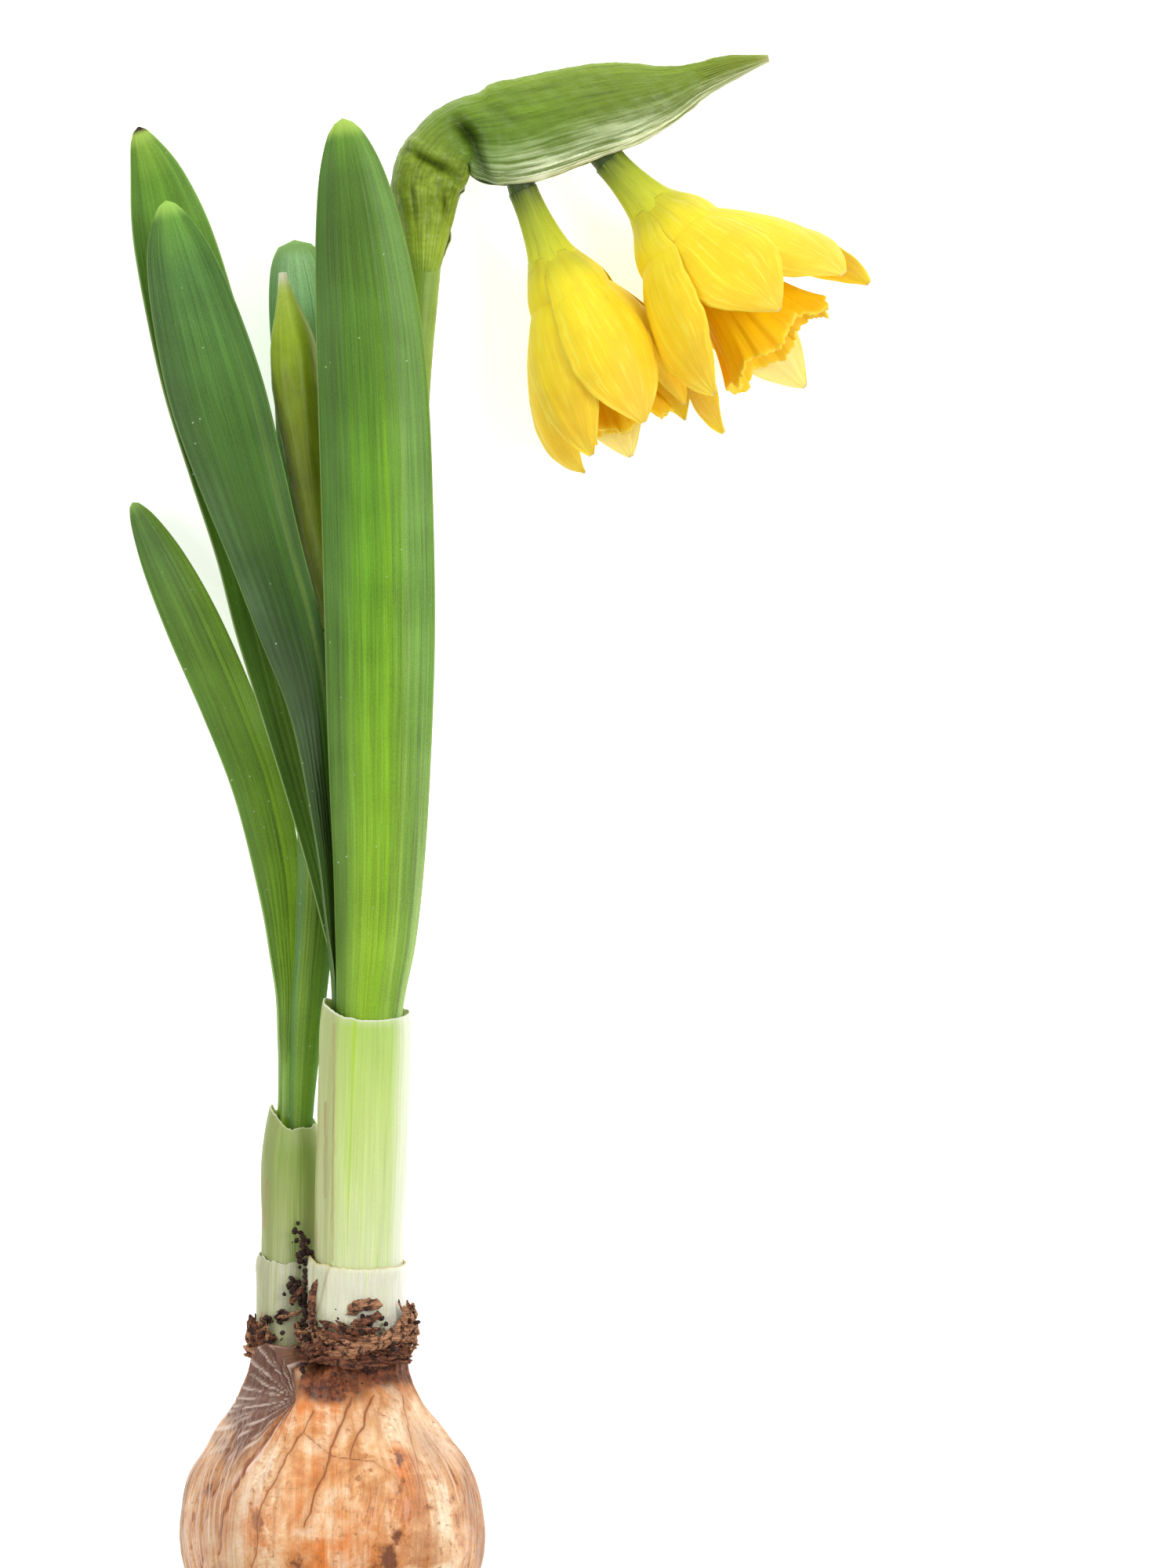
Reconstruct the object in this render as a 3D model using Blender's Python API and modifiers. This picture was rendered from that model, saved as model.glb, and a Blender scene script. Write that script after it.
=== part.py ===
"""A dwarf daffodil lifted with its bulb: two shoots, five leaves, a bud and two open flowers.

It lies on its side. +Y runs from the bulb to the leaf tips, +X to the flowers' side, +Z up.
Shapes are given in plant millimetres, measured from the middle of the bulb's base, and the
whole plant is moved at the end so that the origin is the bottom centre of its box.
"""

import math

import bmesh
import bpy
from mathutils import Vector

MM = 0.001

# ---- driving dimensions, in plant millimetres ----
NECK_Y = 41.0  # top of the bulb, where the shoots leave it
DROOP = 0.06  # how far all that is above the neck falls towards the surface, mm per mm
GAP = 0.3  # between pieces that touch
LEAF_THICKNESS = 0.8
TEPAL_THICKNESS = 0.35
SHEATH_WALL = 0.4
SPATHE_WALL = 0.4

# Bulb outline: (y, x of the middle, half-width, half-depth), base to neck.
BULB_OUTLINE = (
    (0.0, 0.0, 5.5, 5.3),
    (1.2, 0.0, 9.6, 9.4),
    (4.5, 0.0, 14.0, 13.8),
    (10.0, 0.0, 17.9, 17.7),
    (17.0, 0.0, 19.5, 19.3),
    (24.0, -0.1, 18.3, 18.0),
    (29.0, -0.3, 15.4, 14.4),
    (34.0, -0.5, 12.1, 10.6),
    (37.5, -0.5, 10.4, 8.4),
    (NECK_Y, -0.4, 9.8, 7.8),
)
ROOT_CROWN = ((0.0, 5.6), (0.8, 6.0), (2.2, 6.2), (3.2, 5.4))  # (depth below the bulb, radius)

# Tubes round the shoots: (x, y, z, half-width, half-depth), bottom to mouth.
SHEATHS = {
    "sheath_right_lower": ((3.0, 41.4, 3.0, 6.1, 4.7), (3.1, 46.5, 3.05, 6.1, 4.75), (3.2, 51.5, 3.1, 6.2, 4.8)),
    "sheath_right_upper": ((3.0, 41.6, 3.0, 5.3, 4.0), (3.4, 57.0, 3.2, 5.5, 4.1), (3.8, 70.0, 3.3, 5.6, 4.2),
                           (4.2, 83.5, 3.5, 5.6, 4.2)),
    "sheath_left_lower": ((-5.6, 41.4, -2.4, 3.9, 3.7), (-5.5, 46.5, -2.5, 4.0, 3.8), (-5.4, 52.0, -2.5, 4.2, 3.9)),
    "sheath_left_upper": ((-5.6, 41.6, -2.4, 3.2, 3.0), (-5.3, 56.0, -2.5, 3.6, 3.3), (-5.2, 64.0, -2.5, 3.6, 3.3),
                          (-5.0, 69.3, -2.4, 3.0, 3.0)),
}
# How far the mouth rises: (height in mm, direction in degrees from +X towards +Z).
MOUTH_RISE = {
    "sheath_right_lower": (0.8, 180.0),
    "sheath_right_upper": (1.1, 180.0),
    "sheath_left_lower": (0.5, 180.0),
    "sheath_left_upper": (2.0, 180.0),
}
# Dry brown collars round the feet of the shoots, shaped like the tubes.
COLLARS = {
    "tunic_collar_right": ((3.0, 41.4, 3.0, 7.0, 5.6), (3.0, 43.6, 3.0, 7.6, 6.1), (3.1, 46.4, 3.05, 7.3, 5.9)),
    "tunic_collar_left": ((-5.6, 41.4, -2.4, 4.6, 4.4), (-5.8, 43.2, -2.6, 5.0, 4.9), (-5.8, 45.2, -2.7, 4.9, 4.8)),
}
COLLAR_ARC = {"tunic_collar_right": (-95.0, 160.0), "tunic_collar_left": (85.0, 340.0)}  # degrees covered
COLLAR_WALL = 0.5

# Leaves: (x, y, z, half-width, channel, turn), base to tip. Channel is the half-angle of the
# cross-section's arc in degrees, positive where the face towards +Z is the rounded back.
# Turn is the rotation about the leaf's own length, in degrees.
LEAVES = {
    "leaf_front": (
        (3.3, 50.0, 5.7, 3.5, 46, 0), (4.1, 70.0, 6.0, 3.9, 44, 0), (4.7, 83.5, 6.3, 4.15, 40, 0),
        (5.5, 93.0, 6.4, 5.1, 34, 0), (5.9, 103.0, 6.4, 5.8, 28, 0), (6.0, 116.0, 6.5, 6.5, 26, 0),
        (6.0, 132.5, 6.7, 7.0, 26, 0), (5.6, 150.0, 6.8, 7.1, 26, 0), (5.1, 162.5, 6.8, 7.0, 26, 0),
        (4.4, 172.5, 6.8, 6.6, 26, 0), (3.35, 182.5, 6.7, 5.6, 25, 0), (2.3, 190.5, 6.5, 4.1, 22, 0),
        (1.5, 195.5, 6.2, 2.2, 15, 0), (1.2, 197.3, 6.0, 0.5, 6, 0)),
    "leaf_left_front": (
        (-0.4, 50.0, 2.1, 1.5, -42, -84), (0.0, 70.0, 2.3, 1.6, -42, -84), (0.3, 83.5, 2.5, 1.6, -40, -78),
        (-0.1, 93.0, 3.1, 1.9, -38, -64), (-0.8, 103.0, 3.4, 2.1, -34, -48), (-1.7, 112.5, 3.3, 2.3, -30, -32),
        (-3.0, 122.5, 3.1, 3.0, -27, -16), (-5.6, 132.5, 2.9, 4.1, -24, -6), (-8.6, 142.0, 2.6, 4.7, -24, -2),
        (-11.9, 152.5, 2.0, 5.6, -22, 0),
        (-14.9, 162.5, 1.3, 6.1, -20, 0), (-17.7, 172.5, 0.4, 5.4, -18, 0), (-19.9, 180.5, -0.5, 4.0, -16, 0),
        (-21.0, 185.2, -1.2, 2.0, -10, 0), (-21.4, 187.0, -1.5, 0.5, -4, 0)),
    "leaf_left_back": (
        (2.9, 50.0, 0.2, 2.0, -33, 0), (3.5, 70.0, 0.3, 2.1, -33, 0), (3.8, 83.5, 0.3, 2.1, -30, 0),
        (1.6, 93.0, -0.6, 2.5, -28, 0), (-0.7, 103.0, -1.1, 2.8, -28, 0), (-3.1, 112.5, -1.4, 3.2, -26, 0),
        (-5.5, 122.5, -1.6, 3.9, -24, 0), (-7.8, 132.5, -1.9, 4.7, -22, 0), (-10.0, 142.5, -2.4, 5.1, -20, 0),
        (-12.9, 153.0, -3.3, 5.6, -20, 0), (-15.9, 163.5, -4.6, 5.9, -20, 0), (-18.4, 173.5, -6.0, 5.7, -20, 0),
        (-20.8, 183.0, -7.7, 5.0, -20, 0), (-22.7, 190.0, -8.9, 3.5, -18, 0), (-24.5, 194.8, -9.4, 1.7, -12, 0),
        (-25.1, 196.7, -9.5, 0.5, -4, 0)),
    "leaf_outer_left": (
        (-7.2, 49.0, -2.6, 1.5, -36, -78), (-7.2, 60.0, -2.7, 1.7, -38, -78), (-6.7, 69.5, -2.7, 1.6, -38, -74),
        (-6.2, 82.5, -3.4, 1.9, -34, -50), (-6.4, 92.5, -4.0, 2.4, -30, -26), (-7.4, 102.5, -4.7, 3.1, -26, -10),
        (-9.7, 112.5, -5.3, 3.35, -22, -2), (-13.4, 122.5, -6.0, 3.55, -20, 0), (-17.8, 132.5, -7.1, 3.55, -18, 0),
        (-21.6, 140.5, -8.4, 2.9, -16, 0), (-24.4, 146.0, -9.6, 1.7, -10, 0), (-25.8, 148.5, -10.2, 0.5, -4, 0)),
    "leaf_back": (
        (-4.5, 49.0, -1.5, 1.4, 36, 0), (-4.4, 60.0, -1.4, 1.5, 36, 0), (-4.0, 71.0, -1.3, 1.5, 34, 0),
        (-3.3, 82.5, -1.6, 2.1, 34, 0), (-2.4, 93.0, -2.3, 2.4, 30, 0), (-1.7, 103.5, -2.9, 2.8, 28, 0),
        (-1.3, 113.0, -3.4, 3.7, 26, 0), (-1.3, 124.0, -3.9, 4.5, 24, 0), (-1.7, 142.5, -4.9, 5.0, 24, 0),
        (-2.7, 162.5, -5.9, 4.9, 22, 0), (-3.8, 173.0, -6.3, 4.2, 20, 0), (-4.8, 178.5, -6.5, 2.8, 16, 0),
        (-5.3, 181.2, -6.6, 1.2, 8, 0), (-5.4, 182.0, -6.6, 0.5, 4, 0)),
}

# Round stalks: (x, y, z, radius).
STALKS = {
    "scape_flowering": (
        (4.9, 47.0, 2.7, 1.6), (5.4, 70.0, 3.2, 1.75), (5.9, 83.0, 3.5, 1.8), (7.0, 97.0, 3.2, 1.8),
        (8.0, 112.5, 2.8, 1.85), (9.4, 142.5, 2.0, 1.85), (10.5, 164.5, 1.2, 1.85), (11.5, 177.6, 0.5, 1.95)),
    "scape_of_bud": (
        (1.4, 47.0, 2.5, 1.0), (2.0, 70.0, 2.7, 1.0), (2.4, 83.0, 2.9, 1.0), (2.7, 93.0, 2.6, 1.0),
        (2.5, 103.0, 2.2, 1.05), (2.0, 113.0, 1.8, 1.1), (1.2, 124.0, 1.2, 1.2), (0.1, 132.0, 0.6, 1.3)),
    "bud": (
        (0.0, 132.4, 0.5, 1.3), (-0.9, 137.5, 0.4, 1.6), (-2.0, 143.0, 0.2, 2.0), (-3.2, 152.5, 0.0, 2.6),
        (-4.2, 160.0, -0.2, 3.1), (-4.8, 165.0, -0.3, 3.2), (-5.3, 169.5, -0.4, 2.7), (-5.9, 173.5, -0.5, 1.5),
        (-6.3, 176.0, -0.5, 0.8), (-6.5, 177.8, -0.5, 0.5)),
}

# The hood over the flower stalks: (x, y, z, half-height, half-depth, gap), stem to beak.
# Gap is the opening along its under side, in degrees.
SPATHE = (
    (11.5, 178.3, 0.5, 2.1, 2.3, 20), (11.7, 181.5, 0.4, 2.9, 2.9, 24), (11.9, 185.5, 0.2, 3.7, 3.4, 30),
    (12.0, 189.0, 0.1, 4.5, 3.7, 40), (13.2, 192.2, 0.0, 4.5, 3.8, 50), (14.6, 194.2, 0.0, 4.1, 3.9, 60),
    (16.8, 195.3, -0.1, 4.6, 4.0, 70), (20.2, 195.3, -0.2, 6.3, 4.0, 78), (24.4, 196.0, -0.3, 6.6, 3.9, 78),
    (31.0, 197.8, -0.5, 6.1, 3.8, 86), (37.0, 199.2, -0.7, 5.4, 3.2, 80), (42.1, 200.5, -0.9, 3.8, 2.2, 60),
    (46.3, 202.2, -1.0, 2.3, 1.4, 56), (50.4, 203.8, -1.1, 1.6, 1.0, 56), (53.5, 204.7, -1.2, 0.9, 0.8, 56),
    (55.6, 205.2, -1.2, 0.45, 0.6, 56))

# Flowers: the middle of the tube's mouth, the way the flower faces, its tube's length and mouth
# radius, its stalk's route with radii, and its petals. Tepals: azimuth in degrees round the axis
# (0 towards +Z, 90 towards +X), length, half-width, lean away from the axis in degrees at the
# foot, middle and tip, standing-off in mm.
FLOWERS = {
    "flower_left": {
        "mouth": (29.75, 175.3, -1.1),
        "faces": (0.395, -0.918, 0.0),
        "tube": (14.2, 5.0),
        "stalk": ((10.8, 178.6, 1.4, 0.7), (11.2, 183.5, 1.5, 0.8), (12.6, 189.0, 1.5, 0.8), (15.8, 192.7, 1.5, 0.9),
                  (20.0, 193.4, 1.0, 1.2), (22.8, 192.0, 0.1, 1.6), (23.95, 189.2, -0.3, 1.8)),
        "tepals": {
            "tepal_back_left": (-82, 22.8, 5.0, (34, 4, -46), 0.0),
            "tepal_front_left": (-34, 20.8, 4.8, (34, 4, -20), 0.85),
            "tepal_front": (15, 19.6, 5.4, (34, 4, -20), 1.7),
            "tepal_front_right": (72, 20.2, 5.2, (34, 4, -16), 0.85),
            "tepal_back_right": (130, 21.8, 4.7, (34, 4, -10), 1.7),
            "tepal_back": (184, 22.8, 5.4, (34, 4, -16), 0.85),
        },
        "corona": (18.8, 6.0),
    },
    "flower_right": {
        "mouth": (43.9, 182.5, 0.0),
        "faces": (0.675, -0.738, 0.08),
        "tube": (13.0, 5.6),
        "stalk": ((12.2, 178.6, -0.4, 0.7), (12.6, 183.5, -0.8, 0.8), (14.2, 189.0, -1.2, 0.8), (18.5, 193.9, -1.5, 0.9),
                  (25.0, 196.1, -1.3, 1.2), (31.5, 195.4, -0.7, 1.65), (34.75, 192.45, -0.5, 1.85)),
        "tepals": {
            "tepal_back_left": (-94, 24.0, 4.5, (30, 16, 8), 0.0),
            "tepal_front_left": (-43, 20.8, 5.5, (44, 20, -4), 1.8),
            "tepal_front": (13, 18.4, 5.9, (44, 20, -8), 1.0),
            "tepal_front_right": (65, 21.0, 7.1, (42, 20, 2), 0.0),
            "tepal_back_right": (108, 22.5, 5.0, (40, 22, 4), 1.2),
            "tepal_back": (184, 24.8, 5.4, (28, 12, -8), 0.75),
        },
        "corona": (19.4, 7.4),
    },
}
TUBE_PROFILE = ((0.0, 0.96), (0.2, 0.80), (0.45, 0.57), (0.68, 0.45), (0.86, 0.40), (1.0, 0.385))  # share of length, of radius
CORONA_FOOT = 2.9
CORONA_LOBES = 6

GREEN = (0.12, 0.30, 0.05, 1.0)
PALE_GREEN = (0.55, 0.66, 0.28, 1.0)
YELLOW_GREEN = (0.42, 0.48, 0.06, 1.0)
YELLOW = (0.95, 0.68, 0.02, 1.0)
ORANGE_YELLOW = (0.95, 0.48, 0.01, 1.0)
BULB_SKIN = (0.62, 0.36, 0.17, 1.0)
DRY_BROWN = (0.16, 0.08, 0.04, 1.0)
IVORY = (0.78, 0.78, 0.62, 1.0)


def clear_scene():
    for obj in list(bpy.data.objects):
        bpy.data.objects.remove(obj)


def make_collection(name):
    collection = bpy.data.collections.new(name)
    bpy.context.scene.collection.children.link(collection)
    return collection


def finish_material(name, colour, roughness):
    material = bpy.data.materials.new(name)
    material.use_nodes = True
    shader = material.node_tree.nodes["Principled BSDF"]
    shader.inputs["Base Color"].default_value = colour
    shader.inputs["Roughness"].default_value = roughness
    shader.inputs["Metallic"].default_value = 0.0
    return material


def place(point):
    """Plant millimetres to metres, with the droop of all that is above the neck."""
    x, y, z = point
    return Vector((x, y, z - DROOP * max(0.0, y - NECK_Y))) * MM


def smooth_rows(rows, count):
    """`count` rows evenly spread along a Catmull-Rom curve through `rows` of numbers."""
    last = len(rows) - 1
    lengths = [math.dist(rows[i][:3], rows[i + 1][:3]) for i in range(last)]
    total = sum(lengths)
    made = []
    for step in range(count):
        along = total * step / (count - 1)
        span = 0
        while span < last - 1 and along > lengths[span]:
            along -= lengths[span]
            span += 1
        t = min(1.0, along / lengths[span])
        before, start = rows[max(0, span - 1)], rows[span]
        end, after = rows[span + 1], rows[min(last, span + 2)]
        made.append([
            0.5 * (2 * b + (c - a) * t + (2 * a - 5 * b + 4 * c - d) * t**2 + (3 * b - a - 3 * c + d) * t**3)
            for a, b, c, d in zip(before, start, end, after)
        ])
    return made


def tangents(points):
    last = len(points) - 1
    return [(points[min(last, i + 1)] - points[max(0, i - 1)]).normalized() for i in range(last + 1)]


def add_piece(obj, name, collection, material):
    obj.name = name
    obj.data.name = name
    for other in list(obj.users_collection):
        other.objects.unlink(obj)
    collection.objects.link(obj)
    obj.data.materials.clear()
    obj.data.materials.append(material)
    return obj


def sheet_solid(name, rows, thickness, collection, material, wrap=False):
    """A grid laid through `rows` of points and given a thickness. With wrap, its long sides meet."""
    across = len(rows[0]) - 1
    bpy.ops.mesh.primitive_grid_add(x_subdivisions=across, y_subdivisions=len(rows) - 1, size=1)
    obj = bpy.context.object
    flat = [point for row in rows for point in row]
    for vertex, point in zip(obj.data.vertices, flat):
        vertex.co = point
    if wrap:
        mesh = bmesh.new()
        mesh.from_mesh(obj.data)
        bmesh.ops.remove_doubles(mesh, verts=mesh.verts, dist=1e-6)
        bmesh.ops.recalc_face_normals(mesh, faces=mesh.faces)
        mesh.to_mesh(obj.data)
        mesh.free()
    obj.data.shade_smooth()
    shell = obj.modifiers.new("Solidify", "SOLIDIFY")
    shell.thickness = thickness * MM
    shell.offset = 0.0
    return add_piece(obj, name, collection, material)


def arc_row(middle, side, normal, half_width, channel, across):
    """Points across a blade whose section is an arc of +-channel degrees, rounded towards `normal`."""
    if abs(channel) < 1.0:
        channel = 1.0
    angle = math.radians(channel)
    radius = half_width / math.sin(angle)
    row = []
    for i in range(across + 1):
        u = 2 * i / across - 1
        row.append(middle + (side * radius * math.sin(u * angle) - normal * radius * (1 - math.cos(u * angle))) * MM)
    return row


def leaf(name, stations, collection, material, along=20, across=4):
    stations = smooth_rows(stations, along + 1)
    middles = [place(s[:3]) for s in stations]
    rows = []
    for station, middle, tangent in zip(stations, middles, tangents(middles)):
        half_width, channel, turn = max(0.45, station[3]), station[4], math.radians(station[5])
        flat_side = tangent.cross(Vector((0, 0, 1))).normalized()
        face = flat_side.cross(tangent).normalized()
        side = flat_side * math.cos(turn) + face * math.sin(turn)
        rows.append(arc_row(middle, side, side.cross(tangent).normalized(), half_width, channel, across))
    return sheet_solid(name, rows, LEAF_THICKNESS, collection, material)


def sleeve(name, stations, wall, collection, material, rise=(0.0, 0.0), ruffle=0.0, arc=(0.0, 360.0), along=6):
    """A tube of oval section, or an arc of one. Its mouth rises on one side, and may be ruffled."""
    around = 20
    stations = smooth_rows(stations, along + 1)
    height, heading = rise[0], math.radians(rise[1])
    start, end = (math.radians(value) for value in arc)
    rows = []
    for step, (x, y, z, half_width, half_depth) in enumerate(stations):
        share = (step / along) ** 3
        row = []
        for i in range(around + 1):
            angle = start + (end - start) * i / around
            lift = height * math.cos(angle - heading) + ruffle * math.sin(5 * angle)
            row.append(place((x + half_width * math.cos(angle), y + share * lift, z + half_depth * math.sin(angle))))
        rows.append(row)
    return sheet_solid(name, rows, wall, collection, material, wrap=end - start > 6.28)


def stalk(name, stations, collection, material, spacing=4.0, sides=2):
    """A round stalk as a bevelled curve with a radius at each point."""
    length = sum(math.dist(a[:3], b[:3]) for a, b in zip(stations, stations[1:]))
    points = smooth_rows(stations, max(5, round(length / spacing)))
    curve = bpy.data.curves.new(name, "CURVE")
    curve.dimensions = "3D"
    curve.bevel_depth = MM
    curve.bevel_resolution = sides
    curve.use_fill_caps = True
    spline = curve.splines.new("POLY")
    spline.points.add(len(points) - 1)
    for target, (x, y, z, radius) in zip(spline.points, points):
        target.co = (*place((x, y, z)), 1.0)
        target.radius = radius
    obj = bpy.data.objects.new(name, curve)
    collection.objects.link(obj)
    curve.materials.append(material)
    return obj


def bulb(collection, material, segments=28, rings=18):
    """A sphere whose rings are moved to the bulb's outline."""
    bpy.ops.mesh.primitive_uv_sphere_add(segments=segments, ring_count=rings, radius=1)
    obj = bpy.context.object
    outline = smooth_rows([(y, x, w, d) for y, x, w, d in BULB_OUTLINE], rings - 1)
    for vertex in obj.data.vertices:
        ring = round(rings * (1 - math.acos(max(-1.0, min(1.0, vertex.co.z))) / math.pi))
        y, x, half_width, half_depth = outline[min(max(ring - 1, 0), rings - 2)]
        heading = math.atan2(vertex.co.y, vertex.co.x)
        at_pole = ring in (0, rings)
        reach = 0.0 if at_pole else 1.0
        vertex.co = Vector((
            x + reach * half_width * math.cos(heading), y, -reach * half_depth * math.sin(heading))) * MM
    obj.data.shade_smooth()
    return add_piece(obj, "bulb", collection, material)


def turned(name, profile, collection, material, steps=16):
    """A solid of revolution about +Z from (radius, height) rows in mm, run top to bottom."""
    mesh = bpy.data.meshes.new(name)
    points = [(radius * MM, 0, height * MM) for radius, height in profile]
    mesh.from_pydata(points, [(i, i + 1) for i in range(len(points) - 1)], [])
    obj = bpy.data.objects.new(name, mesh)
    screw = obj.modifiers.new("Screw", "SCREW")
    screw.steps = screw.render_steps = steps
    screw.use_merge_vertices = True
    screw.merge_threshold = 1e-6
    collection.objects.link(obj)
    mesh.materials.append(material)
    return obj


def root_crown(collection, material):
    """The basal plate with its brush of dry roots, under the bulb."""
    profile = [(0.0, -GAP)] + [(radius, -GAP - depth) for depth, radius in ROOT_CROWN]
    profile.append((0.0, profile[-1][1]))
    obj = turned("root_crown", profile, collection, material, steps=20)
    obj.rotation_euler = (-math.pi / 2, 0, 0)
    return obj


def spathe(collection, material, along=26, around=18):
    """A thin hood bent over the stalks: open along the inner side of its bend."""
    stations = smooth_rows(SPATHE, along + 1)
    middles = [place(s[:3]) for s in stations]
    rows = []
    for station, middle, tangent in zip(stations, middles, tangents(middles)):
        half_height, half_depth, gap = station[3:6]
        outward = Vector((-tangent.y, tangent.x, 0)).normalized()
        depth = tangent.cross(outward).normalized()
        reach = math.pi - math.radians(gap) / 2
        row = []
        for i in range(around + 1):
            u = 2 * i / around - 1
            up, aside = half_height * math.cos(math.pi * u), half_depth * math.sin(reach * u)
            row.append(middle + (outward * up + depth * aside) * MM)
        rows.append(row)
    return sheet_solid("spathe", rows, SPATHE_WALL, collection, material)


class Flower:
    """The frame that a flower's pieces are set in: its mouth, axis and the two directions across it."""

    def __init__(self, facts):
        self.mouth = place(facts["mouth"])
        self.tube_length, self.mouth_radius = facts["tube"]
        self.axis = Vector(facts["faces"]).normalized()
        self.front = (Vector((0, 0, 1)) - self.axis * self.axis.z).normalized()
        self.right = self.front.cross(self.axis)

    def outward(self, azimuth):
        return self.front * math.cos(azimuth) + self.right * math.sin(azimuth)

    def point(self, azimuth, radius, ahead):
        return self.mouth + (self.axis * ahead + self.outward(azimuth) * radius) * MM

    def set_turned(self, obj):
        """Stands a turned object's +Z along the axis, with its origin at the mouth."""
        obj.rotation_euler = self.axis.to_track_quat("Z", "Y").to_euler()
        obj.location = self.mouth


def tepal_half_width(share, widest):
    """Narrow at the foot, widest past the middle, closing to a small point."""
    foot = 0.42
    swell = math.sin(math.pi * min(1.0, share**0.9)) ** 0.75
    return widest * max(0.06, foot * (1 - share) ** 1.5 + (1 - foot * (1 - share) ** 1.5) * swell)


def lean_at(share, leans):
    """Straight from the foot's lean to the middle's, then bending faster towards the tip's."""
    foot, middle, tip = leans
    if share < 0.5:
        return math.radians(foot + (middle - foot) * 2 * share)
    return math.radians(middle + (tip - middle) * (2 * share - 1) ** 2)


def tepal(flower, name, facts, collection, material, along=12, across=4):
    azimuth, length, widest, leans, stand_off = facts
    azimuth = math.radians(azimuth)
    radius, ahead = flower.mouth_radius * 0.92 + stand_off, 0.6
    rows = []
    for step in range(along + 1):
        share = step / along
        lean = lean_at(share, leans)
        outward = flower.outward(azimuth)
        tangent = flower.axis * math.cos(lean) + outward * math.sin(lean)
        normal = outward * math.cos(lean) - flower.axis * math.sin(lean)
        half_width = tepal_half_width(share, widest)
        channel = math.degrees(math.asin(min(0.85, half_width / radius)))
        middle = flower.point(azimuth, radius, ahead)
        rows.append(arc_row(middle, normal.cross(tangent), normal, half_width, channel, across))
        radius += math.sin(lean) * length / along
        ahead += math.cos(lean) * length / along
    return sheet_solid(name, rows, TEPAL_THICKNESS, collection, material)


def corona(flower, name, facts, collection, material, along=7, around=36):
    """The frilled trumpet: a tube that widens to a lobed, waving rim."""
    length, rim = facts
    rows = []
    for step in range(along + 1):
        share = step / along
        flare = CORONA_FOOT + (rim - CORONA_FOOT) * (0.55 * share + 0.45 * share**3)
        row = []
        for i in range(around + 1):
            angle = 2 * math.pi * (i % around) / around
            frill = 0.4 * share**2 * math.sin(CORONA_LOBES * angle) + 0.25 * share**3 * math.sin(3 * CORONA_LOBES * angle)
            scallop = 0.5 * share**4 * math.cos(CORONA_LOBES * angle)
            row.append(flower.point(angle, flare + frill, GAP + share * (length - GAP) + scallop))
        rows.append(row)
    return sheet_solid(name, rows, TEPAL_THICKNESS, collection, material, wrap=True)


def tube(flower, name, collection, material):
    """The green tube behind the petals, hollow at its mouth, with the seed case at its stalk end."""
    length, mouth = flower.tube_length, flower.mouth_radius
    outside = [(mouth * radius, -length * share) for share, radius in TUBE_PROFILE]
    inside = [(0.0, -0.35 * length), (1.2, -0.33 * length), (0.66 * mouth, -0.1 * length), (0.84 * mouth, 0.0)]
    obj = turned(name, inside + outside + [(0.0, -length)], collection, material)
    flower.set_turned(obj)
    return obj


def stamen(flower, name, azimuth, collection, material):
    """A thin filament with its anther standing along the corona's wall."""
    foot, middle, top = (0.7, -2.0), (1.5, 4.0), (1.9, 8.5)
    route = [foot, middle, top, (1.95, 9.5), (1.95, 12.0), (1.9, 13.0)]
    radii = (0.25, 0.25, 0.25, 0.5, 0.5, 0.25)
    return radial_stalk(flower, name, route, radii, azimuth, collection, material)


def style(flower, name, collection, material):
    route = [(0.0, -2.6), (0.0, 6.0), (0.0, 14.0), (0.0, 15.0), (0.0, 15.8)]
    return radial_stalk(flower, name, route, (0.32, 0.32, 0.34, 0.75, 0.6), 0.0, collection, material)


def radial_stalk(flower, name, route, radii, azimuth, collection, material):
    """A thin curve in the plane of the axis and one direction across it."""
    curve = bpy.data.curves.new(name, "CURVE")
    curve.dimensions = "3D"
    curve.bevel_depth = MM
    curve.bevel_resolution = 0
    curve.use_fill_caps = True
    spline = curve.splines.new("POLY")
    spline.points.add(len(route) - 1)
    for target, (out, ahead), radius in zip(spline.points, route, radii):
        target.co = (*flower.point(azimuth, out, ahead), 1.0)
        target.radius = radius
    obj = bpy.data.objects.new(name, curve)
    collection.objects.link(obj)
    curve.materials.append(material)
    return obj


def build_flower(name, facts, collection, materials):
    flower = Flower(facts)
    stalk(name + "_stalk", facts["stalk"], collection, materials["green"], spacing=2.5)
    tube(flower, name + "_tube", collection, materials["yellow_green"])
    for tepal_name, tepal_facts in facts["tepals"].items():
        tepal(flower, f"{name}_{tepal_name}", tepal_facts, collection, materials["yellow"])
    corona(flower, name + "_corona", facts["corona"], collection, materials["orange_yellow"])
    for i in range(6):
        stamen(flower, f"{name}_stamen_{i + 1}", math.radians(60 * i), collection, materials["yellow"])
    style(flower, name + "_style", collection, materials["yellow_green"])


def centre_on_surface(collection):
    """Moves every piece so that the origin is the bottom centre of the plant's box."""
    bpy.context.view_layer.update()
    graph = bpy.context.evaluated_depsgraph_get()
    corners = []
    for obj in collection.objects:
        mesh = obj.evaluated_get(graph).to_mesh()
        corners += [obj.matrix_world @ vertex.co for vertex in mesh.vertices]
    low = Vector([min(c[i] for c in corners) for i in range(3)])
    high = Vector([max(c[i] for c in corners) for i in range(3)])
    shift = Vector((-(low.x + high.x) / 2, -(low.y + high.y) / 2, -low.z))
    for obj in collection.objects:
        obj.location += shift
    print("origin moved by", [round(value / MM, 2) for value in shift], "mm")


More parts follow.
